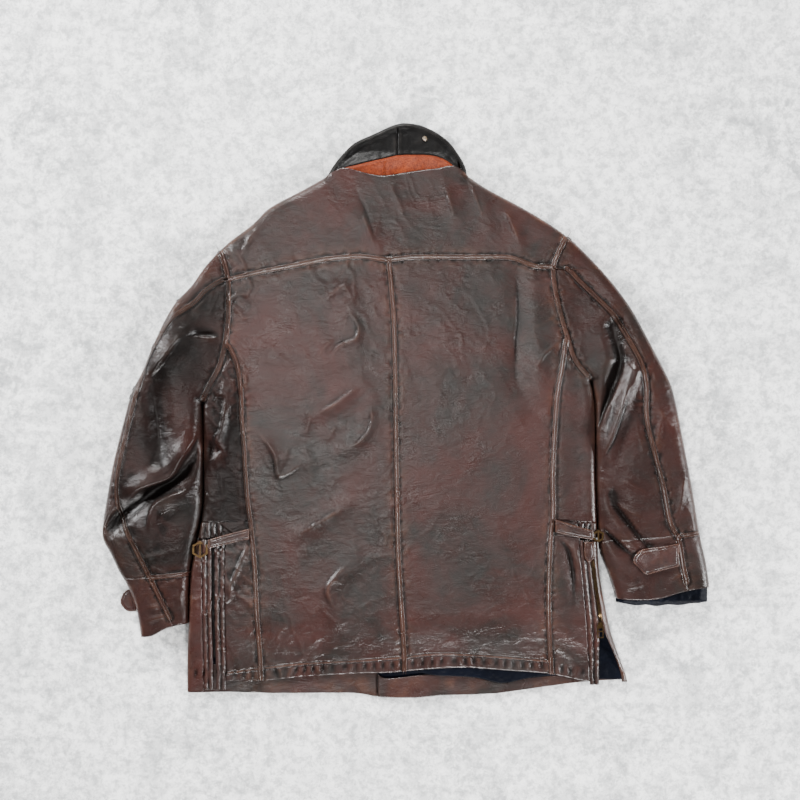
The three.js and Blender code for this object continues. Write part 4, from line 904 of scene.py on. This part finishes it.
class BackPanels(bpy.types.Operator):
    """Yoke and the two long back panels, joined at the centre back seam"""
    bl_idname = "coat.back_panels"
    bl_label = "Back panels"

    def execute(self, context):
        low_yoke = moved(yoke_seam, -SKIN)
        sew("yoke", [panel(body_left, body_right, moved(yoke_seam, SKIN), moved(neck, -SKIN))])
        sew("back_left", [panel(moved(left_side_line, SKIN), moved(centre_seam, -SKIN), back_hem, low_yoke)])
        sew("back_right", [panel(moved(centre_seam, SKIN), moved(right_side_line, -SKIN), back_hem,
                                 low_yoke)])
        return {"FINISHED"}


class SidePanels(bpy.types.Operator):
    """Side panels of the back and of the skirt, with the gathered casings at the waist"""
    bl_idname = "coat.side_panels"
    bl_label = "Side panels"

    def execute(self, context):
        left_seam, right_seam = moved(left_princess, -SKIN), moved(right_princess, SKIN)
        # The dark settings below paint shade into the left side back and both waist casings, and a little
        # into the right side back.
        sew("side_back_left", [panel(body_left, left_seam, moved(casing_top_left, SKIN), const(110.0),
                                     roll="left", dark=0.92)], "shaded leather")
        sew("side_back_right", [panel(right_seam, body_right, moved(casing_top_right, SKIN), const(122.0),
                                      roll="right", dark=0.3)])
        sew("side_skirt_left", [panel(const(-295.2), left_seam, back_hem, moved(casing_low_left, -SKIN))])
        sew("side_skirt_right", [panel(right_seam, moved(tape_left, -SKIN), back_hem,
                                       moved(casing_low_right, -SKIN))])

        def gathers(x, y):
            left = smoothstep(-343, -335, x) * (1 - smoothstep(-303, -295, x))
            right = smoothstep(267, 275, x) * (1 - smoothstep(303, 311, x))
            wave = np.cos(2 * math.pi * (x + 1.3 * value_noise(x, y, 9, 41)) / 9.5)
            pinch = 1 - 0.6 * np.abs(smoothstep(-206, -181, y) * 2 - 1) ** 3
            return (left + right) * (1.5 * wave * pinch + 0.8) - 0.8 * np.exp(-((y + 181) / 2.0) ** 2)

        sew("waist_casing_left", [panel(moved(left_edge, SKIN), left_seam, moved(casing_low_left, SKIN),
                                        moved(casing_top_left, -SKIN), step=1.1, roll="left", extra=gathers,
                                        dark=0.6)], "sleeve leather")
        sew("waist_casing_right", [panel(right_seam, moved(right_edge, -SKIN), moved(casing_low_right, SKIN),
                                         moved(casing_top_right, -SKIN), step=1.1, roll="right",
                                         extra=gathers, dark=0.5)], "sleeve leather")
        return {"FINISHED"}


tape_left = along_y([(283, -222), (301, -431), (302.5, -470)])
tape_right = along_y([(299, -222), (314, -343), (316, -365), (317, -470)])
flap_inner = along_y([(303.5, -222), (318.5, -343), (323, -358), (351, -425), (357, -470)])


class Fronts(bpy.types.Operator):
    """Fronts that lie on the floor, their hems and their turned-up sides"""
    bl_idname = "coat.fronts"
    bl_label = "Fronts"

    def execute(self, context):
        def lift(x, y):
            return 0.1 + FLOOR_LAYER + 2.3 * (1 - smoothstep(33, 62, x)) * (x > -47)

        def ripple(x, y):
            near = np.exp(-((y - front_hem(x)) / 16.0) ** 2)
            return near * (1.4 + 1.3 * value_noise(x, y, 22, 51))

        def under_neck(x):
            return np.minimum(neck(x) - 12, 372.0)

        inside = 0.6
        left_front = flat_grid(moved(body_left, inside), lambda y: np.minimum(30.0, body_right(y) - inside),
                               front_hem, under_neck, FLOOR_LAYER, thickness=1.8, step=9)
        left_wall = panel(moved(left_edge, SKIN), const(-332.2), const(-463.0), const(-212.0), roll="left")
        sew("front_left", [left_front, left_wall])
        right_front = flat_grid(const(-46.5), moved(body_right, -inside), front_hem, under_neck, lift,
                                thickness=1.8, step=9)
        right_wall = panel(moved(flap_inner, SKIN), moved(right_edge, -SKIN), const(-446.0), const(-212.0),
                           roll="right")
        sew("front_right", [right_front, right_wall])
        left_top = along_x([(-345, -418), (-60, -418), (39, -420), (160, -420), (300, -424)])
        sew("hem_facing_left", [flat_grid(
            lambda y: np.maximum(left_edge(y) + 4, -345.0), const(-48.0), moved(front_hem, 0.2), left_top,
            lambda x, y: 4.0 + ripple(x, y), step=2.4, thickness=1.5)])
        right_top = along_x([
            (-46, -433), (-40, -440), (39, -435), (116, -440), (157, -449), (200, -441), (300, -432)])
        sew("hem_facing_right", [flat_grid(
            const(-45.6), lambda y: np.minimum(right_edge(y) - 3, 352.0), moved(front_hem, 0.2), right_top,
            lambda x, y: lift(x, y) + 2.0 + ripple(x, y), step=2.0, thickness=1.5)])
        return {"FINISHED"}


class Vents(bpy.types.Operator):
    """Ridged strips beside the side vents and the tapes of their zips"""
    bl_idname = "coat.vents"
    bl_label = "Vents"

    def execute(self, context):
        def ridges(left, right):
            def height(x, y):
                t = np.clip((x - left(y)) / (right(y) - left(y)), 0, 1)
                return 2.4 * np.sin(2 * math.pi * t) ** 2 - 0.6 + 0.5 * value_noise(x, y * 1.5, 7, 61)
            return height

        def sunk(depth):
            return lambda x, y: np.full_like(x, -depth)

        for end, a, b in (("front", -332.0, -316.6), ("back", -312.4, -295.5)):
            sew("vent_strip_left_" + end, [panel(const(a), const(b), const(-458.0), const(-210.0), step=1.3,
                                                 extra=ridges(const(a), const(b)))])
        sew("vent_strip_right", [panel(moved(tape_left, SKIN), moved(tape_right, -SKIN), const(-450.0),
                                       const(-211.0), step=1.3, extra=ridges(tape_left, tape_right))])
        sew("zip_left_chain", [panel(const(-316.3), const(-312.7), const(-405.0), const(-211.0), step=1.2,
                                     extra=sunk(2.6), thickness=0.9)], "black leather")
        sew("zip_right_chain", [panel(moved(tape_right, SKIN), moved(flap_inner, -SKIN), const(-344.0),
                                      const(-211.0), step=1.1, extra=sunk(1.4), thickness=0.9)],
            "black leather")
        return {"FINISHED"}


def left_sleeve_edge(y):
    return np.where(y > LEFT_PIT, left_armhole(y), left_edge(y) - SLEEVE_GAP)


def right_inner_edge(y):
    return np.where(y > RIGHT_PIT, right_armhole(y), right_sleeve_edge(y) + SLEEVE_GAP)


class Sleeves(bpy.types.Operator):
    """Two-piece sleeves with their cuffs, flattened on the floor"""
    bl_idname = "coat.sleeves"
    bl_label = "Sleeves"

    def execute(self, context):
        split_left = along_y([
            (-280, 130), (-370, 20), (-410, -100), (-425, -210), (-400, -300), (-395, -395)])
        split_right = along_y([(235, 150), (340, 60), (380, -60), (400, -180), (415, -340)])

        def left_seam(y):
            return np.where(y > 214, left_armhole(y), left_sleeve_seam(y))

        def right_seam(y):
            return np.where(y > 232, right_armhole(y), right_sleeve_seam(y))

        def left_split(y):
            return np.minimum(split_left(y), left_sleeve_edge(y))

        def right_split(y):
            return np.maximum(split_right(y), right_inner_edge(y))

        left_of_seam, right_of_seam = moved(left_seam, -SKIN), moved(left_seam, SKIN)
        over, under, end = moved(left_cuff_seam, SKIN), moved(left_cuff_seam, -SKIN), left_cuff_end
        # The fourth value of each piece is its painted shade, strongest on the left inner sleeve and cuff.
        pieces = [
            ("sleeve_left_outer", "left", "left", 0.5, left_outer, left_of_seam, over, const(262.5),
             left_outer, left_split),
            ("sleeve_left_inner", "left", "right", 0.96, right_of_seam, left_sleeve_edge, over, const(213.0),
             left_split, left_sleeve_edge),
            ("cuff_left_outer", "left", "left", 0.3, left_outer, left_of_seam, end, under,
             left_outer, split_left),
            ("cuff_left_inner", "left", "right", 0.75, right_of_seam, left_sleeve_edge, end, under,
             split_left, left_sleeve_edge)]
        left_of_seam, right_of_seam = moved(right_seam, -SKIN), moved(right_seam, SKIN)
        over, under, end = moved(right_cuff_seam, SKIN), moved(right_cuff_seam, -SKIN), right_cuff_end
        pieces += [
            ("sleeve_right_outer", "right", "right", 0.3, right_of_seam, right_outer, over, const(285.5),
             right_split, right_outer),
            ("sleeve_right_inner", "right", "left", 0.5, right_inner_edge, left_of_seam, over, const(231.0),
             right_inner_edge, right_split),
            ("cuff_right_outer", "right", "right", 0.3, right_of_seam, right_outer, end, under,
             split_right, right_outer),
            ("cuff_right_inner", "right", "left", 0.3, right_inner_edge, left_of_seam, end, under,
             right_inner_edge, split_right)]
        for name, part, rolled, dark, left, right, bottom, top, under_left, under_right in pieces:
            above = panel(left, right, bottom, top, part=part, roll=rolled, dark=dark)
            y = above[0][..., 1]
            below = flat_grid(moved(under_left, 0.4), moved(under_right, -0.4), bottom, top, SLEEVE_UNDERSIDE,
                              y_range=(float(y.min()), float(y.max())))
            shaded = name.endswith("left_inner")
            sew(name, [above, below], "shaded leather" if shaded else "sleeve leather")
        return {"FINISHED"}


collar_edge = spline(COLLAR_OUTLINE, 5)
collar_top = along_x(COLLAR_OUTLINE)
stand_top = along_x(STAND_TOP)


def collar_height(x, y):
    d = distance(collar_edge, x, y)
    s = np.minimum(1, d / COLLAR_ROLL)
    dip = COLLAR_DIP * smoothstep(5.5, 16.5, d)
    rise = (STAND_HEIGHT - COLLAR_HEIGHT + COLLAR_DIP) * smoothstep(430, 392, y) * smoothstep(3, 24, d)
    z = RIM + (COLLAR_HEIGHT - RIM) * np.sqrt(1 - (1 - s) ** 2) - dip + rise
    stand = np.exp(-((y - stand_top(x)) / 1.6) ** 2)
    z = z - 1.3 * stand + 0.8 * np.exp(-((y - stand_top(x) + 5) / 3.0) ** 2)
    z = z + (0.8 * value_noise(x, y, 17, 83) + 0.5 * value_noise(x, y, 8, 84)) * smoothstep(1, 12, d)
    z = z - 1.5 * np.exp(-((x + 33) / 2.2) ** 2) * smoothstep(3, 9, stand_top(x) - y)
    seam = np.abs(x + 14)
    z = z + (0.5 * np.exp(-((seam - 5) / 3.0) ** 2) - 0.8 * np.exp(-(seam / 1.1) ** 2)) * (y > stand_top(x))
    return z


def collar_panel(left, right, bottom, top):
    """Grid of one piece of the collar between two straight sides."""
    sides = const(left), const(right)
    rows, columns = grid_size(*sides, *panel_range(*sides, bottom, top, 376.0, 473.0), 1.6, 4)
    u, v = np.meshgrid(np.linspace(0, 1, columns + 1), np.linspace(0, 1, rows + 1))
    x = left + (right - left) * u
    y = bottom(x) + np.maximum(top(x) - bottom(x), NARROWEST_ROW) * v
    z = collar_height(x, y)
    crest = np.clip((z - blurred(z, 4)) / 0.9, 0, 1)
    return np.dstack([x, y, z]), np.clip(crest + 0.2 * value_noise(x, y, 12, 85), 0, 1), 1.6


class Collar(bpy.types.Operator):
    """Turned-up collar: tan stand, under collar in two halves, rolled rim and upper collar"""
    bl_idname = "coat.collar"
    bl_label = "Collar"

    def execute(self, context):
        rim_inside = offset(collar_edge, -7.5)
        rim_inside = rim_inside[rim_inside[:, 1] > 380]

        def inner_top(x):
            return np.interp(x, rim_inside[:, 0], rim_inside[:, 1])

        sew("collar_stand", [collar_panel(-121.0, 92.0, moved(neck, SKIN),
                                          lambda x: np.minimum(stand_top(x) - SKIN, inner_top(x)))],
            "tan leather")
        for name, a, b in (("collar_leaf_left", -112.0, -14.25), ("collar_leaf_right", -13.75, 85.0)):
            sew(name, [collar_panel(a, b, moved(stand_top, SKIN), moved(inner_top, -SKIN))], "black leather")
        grid = np.stack([offset(collar_edge, -a) for a in np.linspace(0, 7.4, 12)])
        x, y = grid[..., 0], grid[..., 1]
        z = collar_height(x, y) + 0.5 * value_noise(x * 1.5, y * 1.5, 7, 88)
        wear = np.clip(0.6 + 0.5 * value_noise(x, y, 10, 89), 0, 1)
        sew("collar_rim", [(np.dstack([x, y, z])[::-1], wear[::-1], 1.5)], "black leather")
        sew("collar_upper", [flat_grid(const(-113.0), const(90.0), const(390.0), moved(collar_top, -2.0),
                                       FLOOR_LAYER, step=6, thickness=1.7)])
        return {"FINISHED"}


class Lining(bpy.types.Operator):
    """Body and sleeve linings, seen in the hem gap, the right vent and the right cuff"""
    bl_idname = "coat.lining"
    bl_label = "Lining"

    def execute(self, context):
        for name in ("body_lining", "sleeve_left_lining", "sleeve_right_lining"):
            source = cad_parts[name]
            obj = bpy.data.objects.new(name + "_cloth", source.data.copy())
            bpy.context.scene.collection.objects.link(obj)
            clean(obj)
            low = 0.6 if name == "body_lining" else 0.34
            for vertex in obj.data.vertices:
                vertex.co.z = vertex.co.z * low + 0.0016 * (1 - low)
            obj.data.materials.clear()
            obj.data.materials.append(finish("navy lining"))
            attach(obj, BODY)
            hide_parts(name)

        def creased(x, y):
            return 0.9 * value_noise(x, y * 0.5, 9, 121) + 0.5 * value_noise(x, y, 4.5, 122)

        def cuff_cloth(x, y):
            roll = np.sqrt(np.clip((np.minimum(x - 343, 497.5 - x)) / 14.0, 0.02, 1))
            return 2.4 + 11.5 * roll * smoothstep(-324, -309, y) ** 0.5 + creased(x, y)

        def hem_cloth(x, y):
            return 6.9 + 1.6 * smoothstep(-448, -425, y) + 0.8 * creased(x, y)

        def vent_cloth(x, y):
            rise = 2.5 * smoothstep(-400, -345, y) + 2.6 * smoothstep(-414, -430, y)
            return 5.2 + 0.7 * creased(x, y) + rise

        cuff_low = along_x([(344, -314), (360, -317), (378, -320.5), (395, -319), (410, -322), (430, -319),
                            (450, -320), (470, -316), (497, -314)])
        hem_low = along_x([(18, -428), (39, -434), (116, -439), (157, -448), (200, -440), (232, -436)])
        for name, left, right, bottom, top, height, step in (
                ("cuff_lining_right", const(345.0), const(495.5), cuff_low, -289.0, cuff_cloth, 1.6),
                ("hem_lining", const(18.0), const(232.0), hem_low, -404.0, hem_cloth, 1.8),
                ("vent_lining", const(305.0), moved(flap_inner, 1.5), const(-441.5), -346.0,
                 vent_cloth, 1.6)):
            sew(name, [flat_grid(left, right, bottom, const(top), height, step=step, thickness=0.8)],
                "navy lining")
        return {"FINISHED"}


def clean(obj):
    """Merge the loose triangles of a copied node and shade them smooth."""
    work = bmesh.new()
    work.from_mesh(obj.data)
    bmesh.ops.remove_doubles(work, verts=work.verts, dist=1e-6)
    work.to_mesh(obj.data)
    work.free()
    obj.data.polygons.foreach_set("use_smooth", [True] * len(obj.data.polygons))
    obj.data.update()


def laid_shape(name, left, right, bottom, top, height, lift=0.3):
    """A strap or tab that lies on the cloth, with a rounded border and a stitched line inside it."""
    span = np.linspace(-OUTSIDE, OUTSIDE, 2001)
    inside = top(span) > bottom(span)
    y_low, y_high = panel_range(left, right, bottom, top, float(bottom(span)[inside].min()),
                                float(top(span)[inside].max()))
    rows, columns = grid_size(left, right, y_low, y_high, 0.9, 6, probes=60)
    x, y = ruled(left, right, bottom, top, y_low, y_high, np.linspace(0, 1, columns + 1), rows, rounds=60)
    points = np.dstack([x, y])
    ring = np.concatenate([points[0], points[:, -1], points[-1, ::-1], points[::-1, 0]])
    edge = distance(ring[::2], x, y)
    crown = 1.2 * np.sqrt(np.clip(edge / 2.0, 0, 1)) - 0.7 * np.exp(-((edge - 3.4) / 0.9) ** 2)
    crown += 0.5 * np.exp(-((edge - 5.4) / 1.4) ** 2)
    z = height(x, y) + lift + STRAP_THICKNESS - 1.2 + crown + 0.35 * value_noise(x, y, 8, 91)
    wear = np.clip(0.45 * np.exp(-(edge / 1.8) ** 2) + 0.03 + 0.2 * value_noise(x, y, 7, 92), 0, 1)
    sew(name, [(np.dstack([x, y, z]), wear, STRAP_THICKNESS)])


class Straps(bpy.types.Operator):
    """Adjuster straps at the waist and the tabs on the cuffs"""
    bl_idname = "coat.straps"
    bl_label = "Straps"

    def execute(self, context):
        def on_body(x, y):
            return blurred(cloth_height(x, y, fine=False), 2) + 1.9

        def sleeve_top(x, y):
            return cloth_height(x, y, "right", fine=False) + 1.4

        laid_shape("strap_left", const(-322.0), const(-255.0), along_x([(-322, -224.5), (-255, -209)]),
                   along_x([(-322, -210), (-290, -201), (-255, -192)]), on_body)
        laid_shape("strap_right", const(243.0), const(304.0),
                   along_x([(243, -198), (275, -205.5), (304, -210.5)]),
                   along_x([(243, -177), (275, -187), (304, -195)]), on_body)
        laid_shape("strap_right_end", along_y([(290, -214), (289.6, -232), (291.5, -241), (296, -246.4)]),
                   along_y([(304.5, -214), (307, -232), (305, -241), (299, -246.4)]), const(-246.4),
                   const(-213.5), on_body, lift=0.7)
        laid_shape("cuff_tab_right", const(369.0), const(442.0),
                   along_x([(369, -247), (379, -257), (388, -265), (412, -259.5), (445, -251)]),
                   along_x([(369, -240), (376, -230), (384, -225), (412, -220.5), (439, -215)]), sleeve_top)
        laid_shape("cuff_tab_left", const(-470.5), const(-445.0),
                   along_x([(-471, -318), (-461, -330), (-444, -331)]),
                   along_x([(-471, -313), (-464, -298), (-455, -295), (-444, -324)]),
                   lambda x, y: np.full_like(x, 0.1), lift=0.0)
        return {"FINISHED"}


class Hardware(bpy.types.Operator):
    """Buckles, collar snap, zip slider and its pull"""
    bl_idname = "coat.hardware"
    bl_label = "Hardware"

    def execute(self, context):
        for name in ("buckle_left", "buckle_right", "collar_snap", "zip_right_slider", "zip_right_pull"):
            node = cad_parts[name]
            node.data.materials.clear()
            node.data.materials.append(finish("rubbed brass" if name == "collar_snap" else "old brass"))
        chain = spline([(303.4, -246), (309.5, -290), (314.5, -325), (317.4, -343)], 3)
        rows = []
        for away, start in ((-1.25, 0.0), (1.25, 0.9)):
            row = offset(chain, away) + np.array([0, start])
            z = cloth_height(row[:, 0], row[:, 1], "body", fine=False) + 1.6
            rows.append(np.stack([row[:, 0], row[:, 1], z], 1))
        along_paths("zip_right_teeth", rows, 1.8 * MM, "GeometryNodeMeshCube",
                    {"Size": [2.3 * MM, 1.0 * MM, 1.3 * MM]}, {}, "Y", "old brass")
        return {"FINISHED"}


def path_object(name, lines):
    """Open polylines in one mesh, for the stitches to follow."""
    vertices, edges, start = [], [], 0
    for line in lines:
        vertices += (np.asarray(line) * MM).tolist()
        edges += [(start + i, start + i + 1) for i in range(len(line) - 1)]
        start += len(line)
    mesh = bpy.data.meshes.new(name)
    mesh.from_pydata(vertices, edges, [])
    obj = bpy.data.objects.new(name, mesh)
    bpy.context.scene.collection.objects.link(obj)
    return obj


def path_tree(title, solid, sizes, axis):
    """Geometry nodes: a small solid at every pitch along the paths, with one axis turned to follow them."""
    tree = bpy.data.node_groups.new(title, "GeometryNodeTree")
    new, face = tree.nodes.new, tree.interface
    kinds = [("Geometry", "Geometry"), ("Pitch", "Float"), ("Finish", "Material")]
    kinds += [(key, "Vector" if isinstance(value, list) else "Float") for key, value in sizes.items()]
    sockets = {key: face.new_socket(key, in_out="INPUT", socket_type="NodeSocket" + kind).identifier
               for key, kind in kinds}
    face.new_socket("Geometry", in_out="OUTPUT", socket_type="NodeSocketGeometry")
    start, end = new("NodeGroupInput"), new("NodeGroupOutput")
    to_curve, resample = new("GeometryNodeMeshToCurve"), new("GeometryNodeResampleCurve")
    resample.mode = "LENGTH"
    shape, place = new(solid), new("GeometryNodeInstanceOnPoints")
    align, tangent = new("FunctionNodeAlignRotationToVector"), new("GeometryNodeInputTangent")
    align.axis = axis
    real, paint = new("GeometryNodeRealizeInstances"), new("GeometryNodeSetMaterial")
    pairs = [(start.outputs[key], shape.inputs[key]) for key in sizes]
    pairs += [
        (start.outputs["Geometry"], to_curve.inputs[0]), (to_curve.outputs[0], resample.inputs["Curve"]),
        (start.outputs["Pitch"], resample.inputs["Length"]), (resample.outputs[0], place.inputs["Points"]),
        (shape.outputs["Mesh"], place.inputs["Instance"]), (tangent.outputs[0], align.inputs["Vector"]),
        (align.outputs[0], place.inputs["Rotation"]), (place.outputs[0], real.inputs[0]),
        (real.outputs[0], paint.inputs["Geometry"]), (start.outputs["Finish"], paint.inputs["Material"]),
        (paint.outputs[0], end.inputs[0])]
    for source, target in pairs:
        tree.links.new(source, target)
    return tree, sockets, shape


def along_paths(name, lines, pitch, solid, sizes, fixed, axis, material):
    """A small solid at every pitch along the lines; sizes in metres."""
    tree, sockets, shape = path_tree(name, solid, sizes, axis)
    for key, value in fixed.items():
        shape.inputs[key].default_value = value
    guide = path_object(name + "_guide", lines)
    modifier = guide.modifiers.new(name, "NODES")
    modifier.node_group = tree
    for key, value in {"Pitch": pitch, "Finish": finish(material), **sizes}.items():
        modifier[sockets[key]] = value
    graph = bpy.context.evaluated_depsgraph_get()
    mesh = bpy.data.meshes.new_from_object(guide.evaluated_get(graph), depsgraph=graph)
    bpy.data.objects.remove(guide)
    mesh.name = name
    obj = bpy.data.objects.new(name, mesh)
    bpy.context.scene.collection.objects.link(obj)
    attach(obj, BODY)


def on_cloth(line, part):
    x, y = line[:, 0], line[:, 1]
    z = cloth_height(x, y, part) + seam_relief(x, y, part) + 0.15
    return np.stack([x, y, z], 1)


class Stitching(bpy.types.Operator):
    """Double rows of stitches beside the seams and along the hems"""
    bl_idname = "coat.stitching"
    bl_label = "Stitching"

    def execute(self, context):
        pitch = context.scene.coat.stitch_pitch
        lines = []
        for part, seams in SEAMS.items():
            for seam in seams:
                lines += [on_cloth(offset(seam, away), part) for away in (2.2, -2.2)]
        lines.append(on_cloth(HEM_STITCHES, "body"))
        for part, armhole in ARMHOLES.items():
            lines.append(on_cloth(offset(armhole, -3.0 if part == "left" else 3.0), "body"))
        along_paths("seam_stitches", lines, pitch, "GeometryNodeMeshCylinder",
                    {"Depth": 0.72 * pitch, "Radius": 0.32 * MM}, {"Vertices": 6, "Side Segments": 1}, "Z",
                    "thread")
        return {"FINISHED"}


class Stage(bpy.types.Operator):
    """Pale floor, soft studio lights and the camera straight above"""
    bl_idname = "coat.stage"
    bl_label = "Stage"

    def execute(self, context):
        corners = [(-3, -3, 0), (3, -3, 0), (3, 3, 0), (-3, 3, 0)]
        floor = plain_mesh("floor", corners, [(0, 1, 2, 3)], [False])
        floor.data.materials.append(finish("pale floor"))
        for name, place, size, power, tone in (
                ("ceiling", (-0.35, 0.1, 2.6), (1.9, 2.2), 10.5, (1.0, 1.0, 1.0)),
                ("strip", (-0.50, 0.10, 2.6), (0.16, 1.25), 24, (1.0, 0.99, 0.97)),
                ("window left", (-3.3, 1.5, 1.5), (0.7, 0.7), 330, (0.98, 0.99, 1.0)),
                ("window far", (-0.6, 3.6, 1.6), (0.7, 0.7), 360, (1.0, 0.995, 0.98)),
                ("window right", (3.4, -0.6, 1.4), (0.7, 0.7), 250, (0.98, 0.99, 1.0)),
                ("near", (0.6, -3.5, 1.4), (0.7, 0.7), 275, (1.0, 0.99, 0.98))):
            data = bpy.data.lights.new(name, "AREA")
            data.shape, data.size, data.size_y = "RECTANGLE", *size
            data.energy, data.color = power, tone
            lamp = bpy.data.objects.new(name, data)
            lamp.location = place
            lamp.rotation_euler = (Vector((0, 0, 0)) - Vector(place)).to_track_quat("-Z", "Y").to_euler()
            context.scene.collection.objects.link(lamp)
        world = bpy.data.worlds.new("studio")
        world.use_nodes = True
        background = world.node_tree.nodes["Background"]
        background.inputs["Color"].default_value = (0.9, 0.93, 1.0, 1)
        background.inputs["Strength"].default_value = 0.02
        context.scene.world = world
        lens = bpy.data.cameras.new("camera")
        lens.sensor_width = 36
        lens.lens = 36 * 2.0 / 1.32
        camera = bpy.data.objects.new("camera", lens)
        camera.location = (-0.0099, 0.0173, 2.0)
        context.scene.collection.objects.link(camera)
        context.scene.camera = camera
        return {"FINISHED"}


def colour_setting(name, description, default):
    return bpy.props.FloatVectorProperty(name=name, description=description, subtype="COLOR", size=4,
                                         min=0, max=1, default=(*default, 1.0))


class CoatSettings(bpy.types.PropertyGroup):
    """Colours and sizes that a user may change"""
    dark_brown: colour_setting("Dark brown", "Olive black of the leather", (0.0145, 0.0128, 0.0118))
    red_brown: colour_setting("Red brown", "Warmer patches of the leather", (0.032, 0.0128, 0.0112))
    worn_edge: colour_setting("Worn edge", "Leather rubbed pale at crests and seams", (0.098, 0.042, 0.024))
    black: colour_setting("Black", "Under collar and zip tapes", (0.005, 0.0047, 0.0047))
    tan: colour_setting("Tan", "Collar stand", (0.215, 0.040, 0.010))
    tan_dark: colour_setting("Dark tan", "Shaded parts of the collar stand", (0.115, 0.020, 0.005))
    navy: colour_setting("Navy", "Lining", (0.0012, 0.0016, 0.0036))
    navy_light: colour_setting("Light navy", "Threads of the lining", (0.0030, 0.0042, 0.0090))
    brass: colour_setting("Brass", "Buckles, snap and zip", (0.17, 0.105, 0.045))
    brass_dark: colour_setting("Dark brass", "Tarnish on the brass", (0.045, 0.028, 0.016))
    thread: colour_setting("Thread", "Stitches", (0.036, 0.018, 0.012))
    floor: colour_setting("Floor", "Pale floor", (0.97, 0.97, 0.965))
    floor_grey: colour_setting("Floor grey", "Mottling of the floor", (0.17, 0.18, 0.19))
    gloss: bpy.props.FloatProperty(name="Roughness", description="Lowest roughness of the leather",
                                   default=0.21, min=0.05, max=1, subtype="FACTOR")
    grain: bpy.props.FloatProperty(name="Grain", description="Size of the leather's pebbles",
                                   default=1.0, min=0.3, max=3)
    stitch_pitch: bpy.props.FloatProperty(name="Stitch pitch", description="Distance between stitches",
                                          default=0.0036, min=0.001, max=0.01, unit="LENGTH")


STEPS = [BackPanels, SidePanels, Fronts, Vents, Sleeves, Collar, Lining, Straps, Hardware, Stitching, Stage]


class CoatPanel(bpy.types.Panel):
    """Lists the steps that build the coat"""
    bl_idname = "VIEW3D_PT_coat"
    bl_label = "Worn leather coat"
    bl_space_type = "VIEW_3D"
    bl_region_type = "UI"
    bl_category = "Coat"

    def draw(self, context):
        for name in CoatSettings.__annotations__:
            self.layout.prop(context.scene.coat, name)
        for step in STEPS:
            self.layout.operator(step.bl_idname)


CLASSES = [CoatSettings, *STEPS, CoatPanel]


def register():
    for item in CLASSES:
        bpy.utils.register_class(item)
    bpy.types.Scene.coat = bpy.props.PointerProperty(type=CoatSettings)


def unregister():
    del bpy.types.Scene.coat
    for item in reversed(CLASSES):
        bpy.utils.unregister_class(item)


def main():
    register()
    bpy.ops.coat.back_panels()
    bpy.ops.coat.side_panels()
    bpy.ops.coat.fronts()
    bpy.ops.coat.vents()
    bpy.ops.coat.sleeves()
    bpy.ops.coat.collar()
    bpy.ops.coat.lining()
    bpy.ops.coat.straps()
    bpy.ops.coat.hardware()
    bpy.ops.coat.stitching()
    bpy.ops.coat.stage()


if __name__ == "__main__":
    main()
